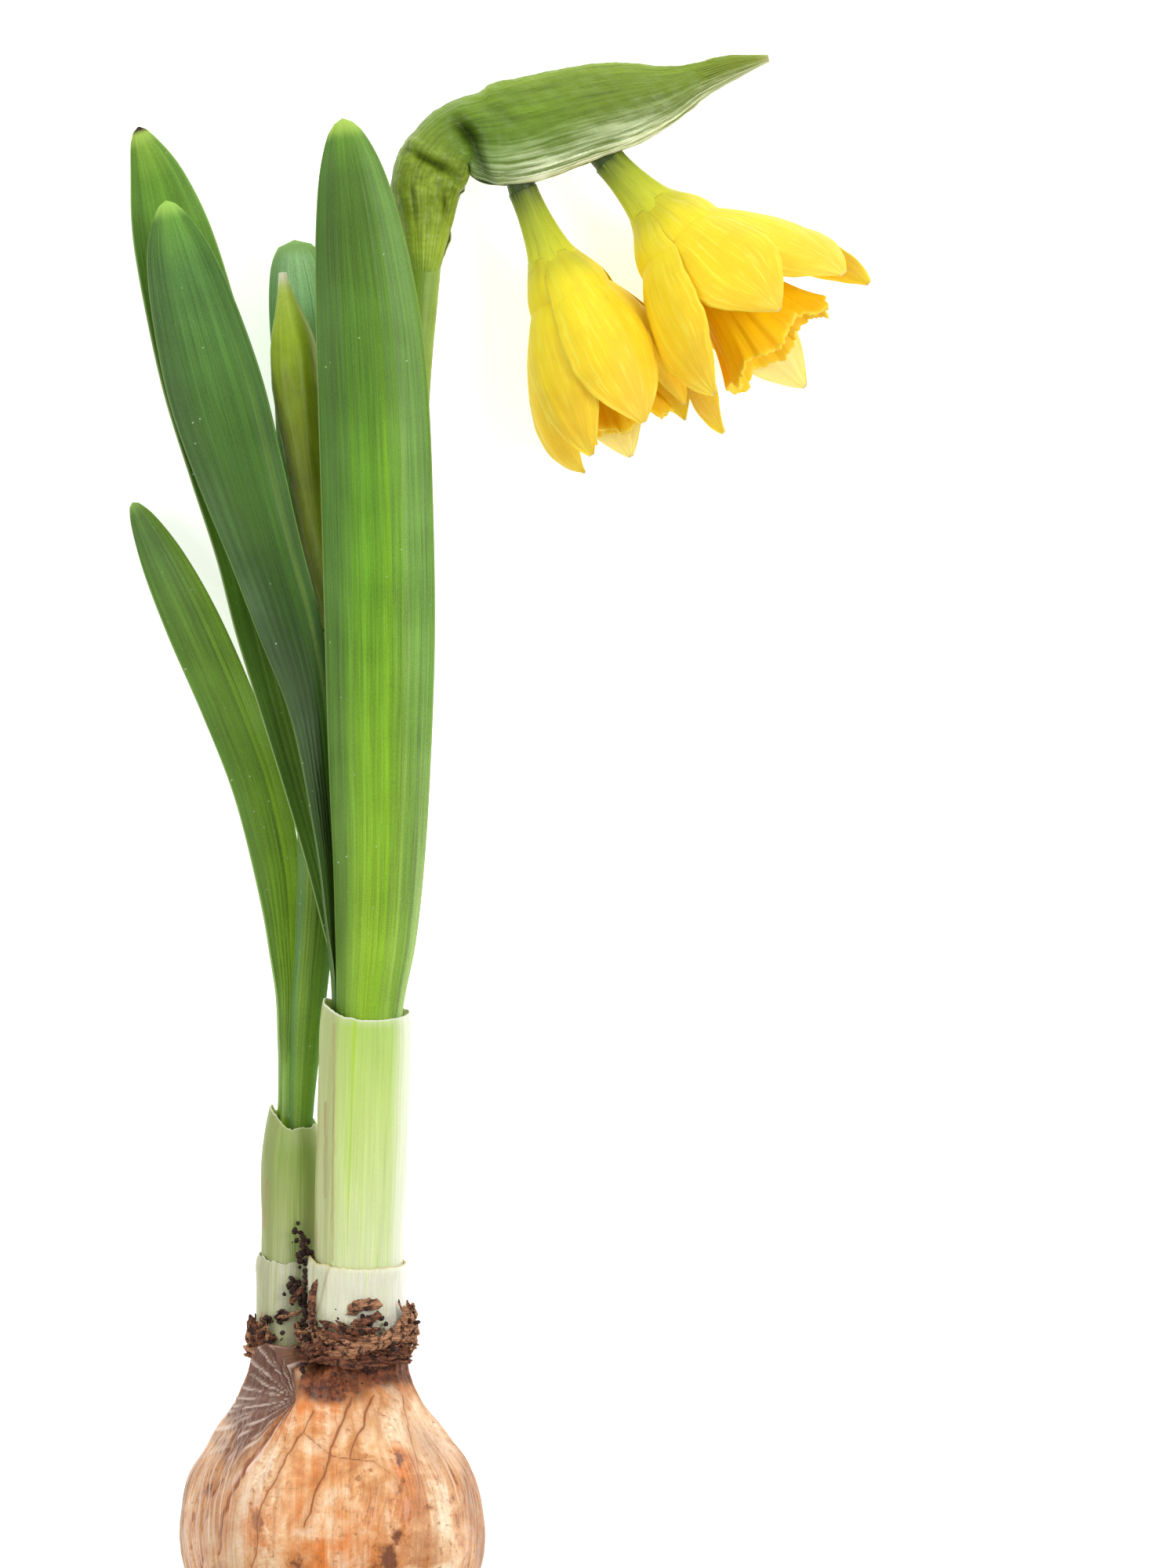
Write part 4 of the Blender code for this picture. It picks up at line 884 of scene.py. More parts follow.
flowerShape = {
    # share of the length back from the mouth, share of the mouth's radius
    "tube": ((0.0, 0.96), (0.2, 0.80), (0.45, 0.57), (0.68, 0.45), (0.86, 0.40), (1.0, 0.385)),
    "tubeRows": 90, "tubeAround": 96, "tubeRibs": 6,
    "tepalRows": 84, "tepalColumns": 34, "tepalWall": 0.34, "tepalEdge": 0.10,
    "footRows": 26, "footBack": 5.2, "footShare": 0.72,  # the foot that runs back over the tube, in mm
    "coronaFoot": 2.9, "coronaWall": 0.34, "lobes": 6,
    "petalColours": ((0.0, (0.76, 0.72, 0.030)), (0.14, (0.93, 0.75, 0.022)), (0.30, (0.985, 0.73, 0.020)),
                     (0.60, (0.985, 0.65, 0.018)), (0.86, (0.97, 0.57, 0.026)), (1.0, (0.95, 0.60, 0.12))),
    "coronaColours": ((0.0, (0.93, 0.57, 0.005)), (0.45, (0.98, 0.60, 0.002)), (0.80, (0.97, 0.60, 0.002)),
                      (0.96, (0.96, 0.56, 0.012)), (1.0, (0.97, 0.66, 0.04))),
    "tubeColours": ((0.0, (0.045, 0.07, 0.010)), (0.08, (0.17, 0.22, 0.018)), (0.28, (0.40, 0.46, 0.022)),
                    (0.52, (0.58, 0.60, 0.028)), (0.76, (0.76, 0.72, 0.030)), (0.94, (0.94, 0.79, 0.024)),
                    (1.0, (0.95, 0.79, 0.05))),
}


class Flower:
    # the frame that a flower's pieces are set in
    def __init__(self, facts):
        self.mouth = place(facts["mouth"])
        self.tubeLength, self.mouthRadius = facts["tube"]
        self.axis = unit(np.array(facts["faces"], float))
        self.front = unit(np.array((0.0, 0.0, 1.0)) - self.axis * self.axis[2])
        self.right = np.cross(self.front, self.axis)

    def outward(self, azimuth):
        azimuth = np.asarray(azimuth, float)[..., None]
        return self.front * np.cos(azimuth) + self.right * np.sin(azimuth)

    def point(self, azimuth, radius, ahead):
        radius, ahead = np.asarray(radius, float)[..., None], np.asarray(ahead, float)[..., None]
        return self.mouth + (self.axis * ahead + self.outward(azimuth) * radius) * mm

    def standUp(self, piece):
        # turns a mesh made round +Z, with +Y to the front, into the flower's place
        turn = Matrix((self.right, self.front, self.axis)).transposed().to_4x4()
        piece.data.transform(Matrix.Translation(Vector(self.mouth)) @ turn)


def petalFinish(name, facts):
    finish = Finish(name, 0.46, flesh=(0.42, (1.0, 0.75, 0.05), 1.6))
    start, across, along, seed = finish.start, finish.across, finish.along, float(facts["seed"])
    broad = finish.streaks(5, 1.5, seed, 3, 0.55)
    fine = finish.streaks(26, 3.5, seed, 3, 0.55, 0.4)
    thread = finish.streaks(70, 7, seed, 2, 0.5, 0.3)
    grain, soft = finish.cloud(6.0, 2, 0.6), finish.cloud(0.28, 2, 0.5)
    tired = (start.painted("aged") * (0.45 + along * 0.9) * (0.6 + broad * 0.7)).bounded()
    lower = along.between(0.62, 1.0) * (0.35 + soft * 0.9)
    veins = fine.between(0.52, 0.68) * 0.38 + thread.between(0.52, 0.70) * 0.30
    rib = across.band(0.5, 0.035) * along.between(0.98, 0.5) * 0.30
    edge = (across.between(0.05, 0.0) + across.between(0.95, 1.0)).bounded()
    point = (along + (grain - 0.5) * 0.01).between(0.985, 1.0)
    pale = start.painted("pale") * along.between(0.45, 0.85)
    colour = finish.layered(
        along.ramp(flowerShape["petalColours"]), (tired * 0.8, (0.93, 0.58, 0.018)),
        (lower * 0.6, (0.88, 0.52, 0.045)), (veins, (0.93, 0.58, 0.015)),
        (fine.between(0.48, 0.34) * 0.55, (0.99, 0.82, 0.09)), (rib, (0.86, 0.60, 0.03)),
        (edge * 0.45, (0.98, 0.78, 0.08)), (pale * 0.8, (0.98, 0.86, 0.42)), (point * 0.7, (0.72, 0.58, 0.40)))
    shade = 1.03 + (broad - 0.5) * 0.30 + (grain - 0.5) * 0.14 + (soft - 0.5) * 0.26
    return finish.lay(
        Base_Color=colour.scaled(shade), Roughness=0.42 + grain * 0.14,
        Normal=finish.relief((fine * 0.8 + thread * 0.4 + broad, 0.10, 0.55), (grain, 0.02, 0.4)))


def coronaFinish(name, seed):
    finish = Finish(name, 0.42, flesh=(0.40, (1.0, 0.55, 0.03), 1.6))
    fold = finish.ringStreaks(3.2, 0.9, seed, 3, 0.6)
    fine = finish.ringStreaks(16, 2.2, seed, 3, 0.6)
    grain = finish.cloud(6.0, 2, 0.6)
    colour = finish.layered(
        finish.along.ramp(flowerShape["coronaColours"]), (fold.between(0.42, 0.66), (0.98, 0.62, 0.008)),
        (fine.between(0.52, 0.70) * 0.25, (0.96, 0.46, 0.001)))
    return finish.lay(
        Base_Color=colour.scaled(1 + (fine - 0.5) * 0.22 + (grain - 0.5) * 0.12), Roughness=0.38 + grain * 0.15,
        Normal=finish.relief((fine + fold * 0.6, 0.14, 0.6), (grain, 0.02, 0.4)))


def tubeFinish(name, seed):
    finish = Finish(name, 0.42, flesh=(0.2, (0.8, 1.0, 0.12), 1.2), Coat_Weight=0.08, Coat_Roughness=0.3)
    broad = finish.ringStreaks(1.8, 1.1, seed, 2, 0.5)
    fine = finish.ringStreaks(8, 2.2, seed, 3, 0.6)
    thread = finish.ringStreaks(22, 5, seed, 2, 0.5)
    grain = finish.cloud(6.0, 2, 0.6)
    sweep = finish.along + (fine - 0.5) * 0.20 + (broad - 0.5) * 0.16
    green = fine.between(0.52, 0.66) * sweep.between(0.98, 0.5) * 0.38
    colour = green.mix(sweep.ramp(flowerShape["tubeColours"]), (0.24, 0.31, 0.02))
    return finish.lay(
        Base_Color=colour.scaled(1 + (thread - 0.5) * 0.28 + (grain - 0.5) * 0.2), Roughness=0.36 + grain * 0.16,
        Normal=finish.relief((fine + thread * 0.5, 0.12, 0.6), (grain, 0.02, 0.5)))


def tepalHalfWidth(share, widest):
    # narrow at the foot, widest past the middle, closing to a small point
    foot = flowerShape["footShare"] * (1 - share) ** 1.5
    swell = math.sin(math.pi * min(1.0, share**0.9)) ** 0.75
    return widest * max(0.06, foot + (1 - foot) * swell)


def leanAt(share, leans):
    foot, middle, tip = leans
    if share < 0.5:
        return math.radians(foot + (middle - foot) * 2 * share)
    return math.radians(middle + (tip - middle) * (2 * share - 1) ** 2)


def tubeRadius(flower, back):
    # the tube's outer radius in mm, so far behind its mouth
    shares, radii = zip(*flowerShape["tube"])
    return np.interp(back / flower.tubeLength, shares, radii) * flower.mouthRadius


def tepalRows(flower, length, widest, leans, standOff):
    # rows of radius, place ahead of the mouth, lean, half-width and half-angle of the section: first
    # the foot, which runs along the tube, and then the blade
    shape, start, steps = flowerShape, 0.6, 12
    radius, ahead = flower.mouthRadius * 0.92 + standOff, start
    stations = []
    for step in range(steps + 1):
        lean = leanAt(step / steps, leans)
        halfWidth = tepalHalfWidth(step / steps, widest)
        stations.append((radius, ahead, 0.0, lean, halfWidth, math.asin(min(0.85, halfWidth / radius))))
        radius += math.sin(lean) * length / steps
        ahead += math.cos(lean) * length / steps
    foot = []
    for step in range(shape["footRows"]):
        t = step / shape["footRows"]
        back = shape["footBack"] * (1 - t)
        ease = t * t * (3 - 2 * t)
        close = float(tubeRadius(flower, back)) - 0.10 + 0.30 * t
        halfWidth = stations[0][4] * (0.45 + 0.55 * t**0.7)
        r = close + (stations[0][0] - close) * ease
        foot.append((r, -back + start * t, 0.0, stations[0][3] * t + 0.3 * (1 - t), halfWidth,
                     math.asin(min(0.85, halfWidth / r))))
    return np.concatenate([np.array(foot), smoothRows(stations, shape["tepalRows"])])


def buildTepal(flower, name, facts, finish, seed):
    azimuth, length, widest, leans, standOff, aged, twist = facts
    azimuth = math.radians(azimuth)
    rows = tepalRows(flower, length, widest, leans, standOff)
    count, columns, footRows = len(rows), flowerShape["tepalColumns"], flowerShape["footRows"]
    share = np.linspace(0, 1, count)[:, None]
    body = held((np.arange(count) - footRows) / (count - footRows))[:, None]
    u = np.linspace(-1, 1, columns)[None, :]
    outward = flower.outward(azimuth)
    lean, halfWidth, channel = rows[:, 3][:, None], rows[:, 4][:, None], rows[:, 5][:, None]
    tangent = flower.axis * np.cos(lean) + outward * np.sin(lean)
    normal = outward * np.cos(lean) - flower.axis * np.sin(lean)
    side = np.cross(normal, tangent)
    turn = (math.radians(twist) * math.copysign(1, azimuth) * body**1.2)[..., None][:, 0]
    side, normal = side * np.cos(turn) + normal * np.sin(turn), normal * np.cos(turn) - side * np.sin(turn)
    halfWidth = halfWidth * (1 + 0.035 * wander(share * 11, 0 * share, seed + 3, 4) * held(body * 4))
    bow = halfWidth / np.sin(channel)
    edge = np.abs(u)
    drop = -bow * (1 - np.cos(u * channel))
    wave = 0.30 * body * edge**3 * wander(share * 10 + u * 1.5, u, seed, 4)
    crease = -0.13 * bell(u, 0.10) * held(body * 3) * (1 - body**3)
    pleat = 0.045 * np.cos(u * 13 + 1.5 * wander(share * 4, u, seed + 1)) * held(body * 3)
    curl = 0.5 * body**4 * edge**2 * wander(share * 0 + u * 2.2, 0 * u, seed + 2, 3)
    lift = drop + wave + crease + pleat + curl
    middle = flower.point(azimuth, rows[:, 0], rows[:, 1])
    points = (middle[:, None, :] + side[:, None, :] * (bow * np.sin(u * channel) * mm)[..., None]
              + normal[:, None, :] * (lift * mm)[..., None])
    wall = flowerShape["tepalEdge"] + (flowerShape["tepalWall"] - flowerShape["tepalEdge"]) * (1 - edge**4)
    wall = wall * np.clip(np.arange(count) / footRows, 0.25, 1)[:, None] * np.clip((1 - body) * 6, 0.35, 1)
    pale = float(abs(facts[0]) > 150)  # the one that faces away is the palest at its tip
    return shell(name, points, wall, finish, paint={"aged": aged, "pale": pale})


def geometryTree(name, values):
    # an empty tree with one input for each value, which are the ones set on its modifier
    tree = bpy.data.node_groups.new(name, "GeometryNodeTree")
    tree.interface.new_socket("Geometry", in_out="INPUT", socket_type="NodeSocketGeometry")
    kinds = {float: "NodeSocketFloat", int: "NodeSocketInt", tuple: "NodeSocketVector"}
    for label, value in values.items():
        tree.interface.new_socket(label, in_out="INPUT", socket_type=kinds.get(type(value), "NodeSocketMaterial"))
    tree.interface.new_socket("Geometry", in_out="OUTPUT", socket_type="NodeSocketGeometry")
    return tree, Plug(tree).add("NodeGroupInput")


def endTree(grown, material):
    # every tree ends in real faces that carry their material
    real = grown.add("GeometryNodeRealizeInstances", None, {0: grown})
    done = grown.add("GeometryNodeSetMaterial", None, {"Geometry": real, "Material": material})
    grown.add("NodeGroupOutput", None, {0: done})


def grow(name, tree, values, source=None, wall=0.0):
    # runs a tree on a mesh and keeps the result as a plain mesh
    mesh = source or bpy.data.meshes.new(name + "_seed")
    piece = bpy.data.objects.new(name, mesh)
    bpy.context.scene.collection.objects.link(piece)
    modifier = piece.modifiers.new("grow", "NODES")
    modifier.node_group = tree
    for item in tree.interface.items_tree:
        if item.item_type == "SOCKET" and item.in_out == "INPUT" and item.name in values:
            modifier[item.identifier] = values[item.name]
    if wall:
        thicken = piece.modifiers.new("wall", "SOLIDIFY")
        thicken.thickness = wall
        thicken.offset = 0.0
    bpy.context.view_layer.update()
    evaluated = piece.evaluated_get(bpy.context.evaluated_depsgraph_get())
    result = bpy.data.meshes.new_from_object(evaluated)
    piece.modifiers.clear()
    piece.data = result
    result.name = name
    result.shade_smooth()
    return piece


def coronaTree():
    # a trumpet that widens to a lobed rim, whose frill grows towards the mouth
    values = {"Length": 18.0, "Foot": 2.9, "Rim": 6.0, "Lobes": 6.0, "Frill": 0.5, "Crumple": 0.5, "Seed": 1.0,
              "Material": None}
    tree, given = geometryTree("frilledTrumpet", values)
    length, foot, rim, lobes = (given.part(label) for label in ("Length", "Foot", "Rim", "Lobes"))
    frill, crumple, seed = (given.part(label) for label in ("Frill", "Crumple", "Seed"))
    grid = given.add("GeometryNodeMeshGrid", None, {"Size X": 1.0, "Size Y": 1.0, "Vertices X": 241, "Vertices Y": 76})
    where = given.add("GeometryNodeInputPosition")
    split = given.add("ShaderNodeSeparateXYZ", None, {0: where})
    round_, share = split + 0.5, split.part(1) + 0.5
    angle = round_ * (2 * math.pi)
    flow = given.vector(round_, share)
    held = given.add("GeometryNodeStoreNamedAttribute", {"data_type": "FLOAT2", "domain": "CORNER"},
                     {"Geometry": grid, "Name": "flow", "Value": flow})
    c, s = angle.maths("COSINE"), angle.maths("SINE")
    flare = foot + (rim - foot) * (share * 0.55 + share**3 * 0.45)
    grow2, grow4 = share**2, share**4
    fold = given.noise(given.vector(c * 1.6, s * 1.6, share * 0.35 + seed), 1.0, 2, 0.5) - 0.5
    pleat = given.noise(given.vector(c * 5.0, s * 5.0, share * 0.5 + seed), 1.0, 2, 0.5) - 0.5
    frilled = (angle * lobes).maths("SINE") * frill * 0.8 + (angle * lobes * 3).maths("SINE") * share * frill * 0.45
    radius = flare + frilled * grow2 + fold * crumple * grow2 * 5.0 + pleat * crumple * share * grow2 * 2.6
    fringe = given.noise(given.vector(c * 11.0, s * 11.0, seed), 1.0, 3, 0.6) - 0.5
    lobe = (angle * lobes).maths("COSINE") * frill
    ahead = share * (length - 0.3) + 0.3 + (lobe + fringe * 3.2 * frill) * grow4
    rib = (angle * 24.0).maths("SINE") * 0.03
    radius = radius + rib
    shaped = given.vector(radius * s * mm, radius * c * mm, ahead * mm)
    moved = given.add("GeometryNodeSetPosition", None, {"Geometry": held, "Position": shaped})
    sealed = given.add("GeometryNodeMergeByDistance", None, {"Geometry": moved, "Distance": 1e-6})
    turned = given.add("GeometryNodeFlipFaces", None, {0: sealed})
    endTree(turned, given.part("Material"))
    return tree


def stamenTree():
    # six filaments with their anthers, standing round the axis
    values = {"Reach": 1.9, "Height": 13.0, "Thickness": 0.25, "Anther": 0.5, "Material": None}
    tree, given = geometryTree("stamenRing", values)
    reach, height, thin, anther = (given.part(label) for label in ("Reach", "Height", "Thickness", "Anther"))
    rod, where, share = given.rod(10, 24)
    swell = share.between(0.70, 0.76) * share.between(1.02, 0.97)
    spread = thin * (1 - share * 0.2) + (anther - thin) * swell
    lean = (share * 2.0).between(0.0, 1.0) * (reach - 0.8) + 0.8
    shaped = given.vector((where * spread * 1.35 + lean) * mm, where.part(1) * spread * mm,
                          (share * (height + 2.2) - 2.2) * mm)
    stamen = given.add("GeometryNodeSetPosition", None, {"Geometry": rod, "Position": shaped})
    spots = given.add("GeometryNodePoints", None, {"Count": 6, "Position": (0, 0, 0), "Radius": 0.001})
    order = given.add("GeometryNodeInputIndex")
    turn = given.vector(0.0, 0.0, order * (-math.pi / 3) + math.pi / 2)
    ring = given.add("GeometryNodeInstanceOnPoints", None, {"Points": spots, "Instance": stamen, "Rotation": turn})
    endTree(ring, given.part("Material"))
    return tree


def pollenFinish(name, base, dark):
    finish = Finish(name, 0.6, flesh=(0.1, (1.0, 0.7, 0.1), 0.6))
    grain, patch = finish.cloud(7.0, 3, 0.65), finish.cloud(0.8, 2, 0.5)
    colour = grain.between(0.35, 0.7).mix(base, dark)
    colour = (patch.between(0.5, 0.8) * 0.4).mix(colour, (0.96, 0.72, 0.10))
    return finish.lay(Base_Color=colour, Normal=finish.relief((grain, 0.06, 0.7)), Roughness=0.5 + grain * 0.25)


stalkShape = {
    # the side colour is painted light on one side
    "rows": 90, "around": 36, "ribs": 3, "ribDepth": 0.02, "lines": 6, "litSide": (0.12, 0.19, 0.03),
    "colours": ((0.0, (0.16, 0.26, 0.04)), (0.5, (0.14, 0.22, 0.03)), (0.85, (0.05, 0.085, 0.018)),
                (1.0, (0.045, 0.075, 0.014))),
    "runOn": (0.4, 0.9, 1.6),  # mm into the tube, so that no gap shows
}
stamenShape = {"Reach": 1.9, "Height": 13.0, "Thickness": 0.25, "Anther": 0.5}
trumpetShape = {
    "Foot": flowerShape["coronaFoot"], "Lobes": float(flowerShape["lobes"]), "Frill": 0.75, "Crumple": 0.62,
}
styleShape = {
    "rows": 60, "around": 24, "knobFrom": 13.4, "knobDepth": 0.16,
    # height above the tube's mouth, radius
    "profile": ((-2.6, 0.32), (6.0, 0.32), (13.4, 0.34), (14.4, 0.72), (15.2, 0.72), (15.8, 0.45)),
}


def ringsOnAxis(flower, radii, ahead, angle, swell):
    # rings round a flower's axis, each with its radius and its place ahead of the mouth, in mm
    return flower.point(np.broadcast_to(angle, swell.shape), radii[:, None] * swell,
                        np.broadcast_to(ahead[:, None], swell.shape))


def buildPedicel(flower, short, facts):
    stations = smoothRows(facts["stalk"], stalkShape["rows"])
    route, radii = place(stations[:, :3]), stations[:, 3]
    for deeper in stalkShape["runOn"]:
        route = np.concatenate([route, [flower.mouth - flower.axis * (flower.tubeLength - deeper) * mm]])
        radii = np.append(radii, flower.mouthRadius * flowerShape["tube"][-1][1] * (0.99 - 0.12 * deeper))
    rings = ringsAlong(route, radii, stalkShape["around"], stalkShape["ribs"], stalkShape["ribDepth"])
    skinFacts = {**stalkShape, "seed": facts["seed"]}
    return skin(f"pedicel_{short}", rings, stemFinish(f"pedicel_{short}_skin", skinFacts))


def buildTube(flower, short, seed):
    outer = smoothRows([(s * 10, r, 0.0) for s, r in flowerShape["tube"]], flowerShape["tubeRows"])[::-1]
    profile = [(row[1] * flower.mouthRadius, -flower.tubeLength * row[0] / 10) for row in outer]
    inside = [(0.86, 0.01), (0.70, -0.06), (1.2 / flower.mouthRadius, -0.33)]  # shares of the mouth and the length
    profile = np.array(profile + [(r * flower.mouthRadius, a * flower.tubeLength) for r, a in inside])
    angle = 2 * math.pi * np.arange(flowerShape["tubeAround"]) / flowerShape["tubeAround"]
    order, last = np.arange(len(profile)), len(profile) - len(inside)
    fade = held(np.minimum(order, last - order) / 14)[:, None]
    ribbed = 1 + 0.035 * fade * np.cos(flowerShape["tubeRibs"] * angle)[None, :]
    rings = ringsOnAxis(flower, profile[:, 0], profile[:, 1], angle, ribbed)
    return skin(f"floral_tube_{short}", rings, tubeFinish(f"tube_{short}_skin", float(seed)))


def buildStyle(flower, short, material):
    shape = styleShape
    places, sizes = zip(*shape["profile"])
    heights = np.linspace(places[0], places[-1], shape["rows"])
    angle = 2 * math.pi * np.arange(shape["around"]) / shape["around"]
    lobed = held((heights - shape["knobFrom"]) / 1.2)[:, None] * np.cos(3 * angle)[None, :]
    rings = ringsOnAxis(flower, np.interp(heights, places, sizes), heights, angle, 1 + shape["knobDepth"] * lobed)
    return skin(f"style_{short}", rings, material)


trumpet, stamenRing = coronaTree(), stamenTree()
stamenSkin = pollenFinish("pollen_yellow", (0.90, 0.60, 0.03), (0.78, 0.42, 0.02))
styleSkin = pollenFinish("style_yellow_green", (0.62, 0.64, 0.16), (0.48, 0.54, 0.08))
for name, facts in flowers.items():
    flower = Flower(facts)
    short = name.replace("flower_", "")
    seed = facts["seed"]
    settle(buildPedicel(flower, short, facts), "leaf_green", name + "_stalk")
    settle(buildTube(flower, short, seed), "tube_yellow_green", name + "_tube")

    petal = petalFinish(f"petal_{short}_skin", facts)
    for order, (tepalName, tepalFacts) in enumerate(facts["tepals"].items()):
        piece = buildTepal(flower, f"{tepalName}_{short}", tepalFacts, petal, seed * 10 + order)
        settle(piece, "petal_yellow", f"{name}_{tepalName}")

    length, rim = facts["corona"]
    values = {**trumpetShape, "Length": length, "Rim": rim, "Seed": float(seed),
              "Material": coronaFinish(f"corona_{short}_skin", seed)}
    corona = grow(f"trumpet_{short}", trumpet, values, wall=flowerShape["coronaWall"] * mm)
    flower.standUp(corona)
    settle(corona, "corona_orange_yellow", name + "_corona")

    stamens = grow(f"stamens_{short}", stamenRing, {**stamenShape, "Material": stamenSkin})
    flower.standUp(stamens)
    settle(stamens, "petal_yellow", *[f"{name}_stamen_{i + 1}" for i in range(6)])
    settle(buildStyle(flower, short, styleSkin), "tube_yellow_green", name + "_style")
print("flowers made:", len(flowers))


# Bulb
bulbShape = {
    "rows": 200, "around": 480,
    # y, x of the middle, half-width, half-depth
    "outline": (
        (0.0, 0.0, 5.5, 5.3), (1.2, 0.0, 9.6, 9.4), (4.5, 0.0, 14.0, 13.8), (10.0, 0.0, 17.9, 17.7),
        (17.0, 0.0, 19.5, 19.3), (24.0, -0.1, 18.3, 18.0), (29.0, -0.3, 15.4, 14.4), (34.0, -0.5, 12.1, 10.6),
        (37.5, -0.5, 10.4, 8.4), (41.0, -0.4, 9.8, 7.8)),
    "colours": ((0.36, (0.55, 0.19, 0.055)), (0.45, (0.82, 0.43, 0.18)), (0.53, (0.92, 0.58, 0.31)),
                (0.63, (0.97, 0.79, 0.56))),
    # veins on the front: half-thickness in mm, strength, then plan points
    "veins": (
        (0.30, 1.0, ((-4.9, 34.3), (-7.0, 31.2), (-9.6, 28.0), (-11.0, 26.0), (-12.6, 23.0), (-13.9, 19.6),
                     (-14.4, 15.0))),
        (0.16, 0.75, ((-3.8, 30.2), (-6.0, 26.6), (-8.1, 22.8), (-9.5, 19.8), (-9.4, 16.0), (-9.9, 13.0))),
        (0.17, 1.0, ((2.4, 34.8), (1.7, 32.5), (0.4, 29.4), (-0.9, 25.2), (-2.0, 22.9), (-2.6, 20.2), (-3.4, 18.6))),
        (0.17, 0.9, ((5.2, 34.9), (4.3, 33.0), (4.1, 31.2), (3.0, 29.3), (2.4, 27.3))),
        (0.14, 0.7, ((-2.3, 33.1), (-3.6, 30.4), (-1.9, 28.9), (0.3, 27.5), (2.6, 27.2), (5.4, 26.8), (8.0, 24.6),
                     (9.1, 23.0))),
        (0.13, 0.65, ((8.9, 34.9), (10.0, 30.8), (10.8, 27.6), (11.3, 24.4), (11.2, 20.0))),
        (0.12, 0.5, ((-6.2, 23.4), (-4.0, 23.6), (-2.0, 24.6), (-0.6, 25.6))),
        (0.16, 0.8, ((-14.0, 24.5), (-15.4, 21.8), (-16.7, 18.0), (-16.4, 13.6), (-17.2, 9.0))),
        (0.12, 0.5, ((6.2, 34.6), (5.6, 31.0))),
        (0.14, 0.6, ((14.2, 27.2), (16.6, 22.0), (17.6, 16.0), (17.2, 9.0))),
        (0.14, 0.6, ((-17.6, 20.0), (-18.3, 14.5), (-17.4, 7.0))),
    ),
    # dark blotches: x, y, radii, turn, strength
    "blotches": (
        (-9.4, 19.3, 1.0, 1.7, 0, 1.0), (-9.7, 16.2, 0.35, 1.7, 4, 0.6), (-15.6, 22.9, 0.75, 1.6, -24, 0.85),
        (8.6, 27.0, 0.9, 1.5, 12, 0.75), (9.0, 23.8, 0.6, 1.5, -12, 0.7), (4.8, 25.6, 0.8, 0.6, 30, 0.55),
        (7.4, 14.6, 1.5, 2.3, 10, 0.95), (8.4, 17.4, 1.1, 1.3, 0, 0.8), (5.6, 12.2, 2.0, 2.0, 0, 0.8),
        (-4.4, 14.0, 1.5, 1.6, 10, 0.65), (15.3, 21.8, 0.7, 1.0, 0, 0.6), (13.4, 24.8, 0.9, 0.8, 0, 0.5),
        (16.2, 16.5, 0.8, 1.3, 20, 0.5), (11.9, 14.2, 0.9, 0.9, 0, 0.45), (14.9, 11.8, 1.0, 1.0, 0, 0.5),
        (12.6, 21.0, 1.2, 0.9, 20, 0.5), (15.8, 19.0, 0.7, 1.5, 15, 0.55), (-2.2, 20.4, 1.2, 1.0, 0, 0.4),
        (4.2, 27.4, 0.6, 0.5, 0, 0.6), (-15.1, 15.6, 0.5, 1.2, 0, 0.5), (4.0, 24.0, 0.5, 0.9, -15, 0.45),
        (7.0, 20.6, 0.7, 0.6, 0, 0.35)),
    # ovals of each kind of skin: strength, x, y, radii, turn
    "areas": {
        # shoulder also marks where the painted highlights go
        "shoulder": ((1, -15.2, 23.0, 4.4, 10.5, -22), (1, 14.6, 25.5, 3.6, 7.0, 28), (1, -18.5, 12.0, 2.2, 7.0),
                     (0.6, 18.5, 14, 1.8, 8.0)),
        "orange": ((1.1, 2.2, 13.5, 5.0, 6.0), (0.75, -3.4, 33.0, 5.5, 2.0, 10), (0.45, -2.4, 23.0, 3.4, 8.0, -12),
                   (0.8, 8.6, 26.6, 1.0, 2.6, 8), (0.6, -9.4, 18.4, 1.6, 3.2), (0.45, 8.0, 35.2, 3.0, 1.3),
                   (0.5, -8.5, 31.0, 4.5, 1.6, 40), (0.35, 9.5, 21.5, 2.4, 5.0)),
        "cream": ((1, 11.6, 18.5, 4.2, 7.5), (0.8, -8.6, 26.0, 2.4, 5.5, -35), (0.7, 6.8, 31.5, 3.0, 3.4),
                  (0.6, -12.0, 16.0, 4.5, 7.5), (0.55, 0.3, 31.6, 2.2, 3.0)),
        "greyed": ((0.8, -14.5, 17.0, 4.5, 10.0),),
        "crumple": ((1, 4.5, 22.5, 5.5, 6.0), (0.8, 1.0, 15.5, 5.0, 4.0)),
    },
    "stains": ((1.4, -0.2, 35.7, 4.6, 1.9, -3), (0.9, -5.2, 34.6, 1.9, 1.1, 28), (0.75, 4.5, 36.3, 2.2, 0.9)),
    "drySkinPatches": ((0.7, -13.9, 26.0, 2.2, 4.6, -35), (0.6, 12.6, 28.6, 1.4, 3.4, 35)),
    "filmFrom": (-4.6, 34.4),  # where the torn film's wrinkles start
    "notchAt": -3.6,  # x of the dip in the top edge, between the shoots
    "backBlotches": 14,
}


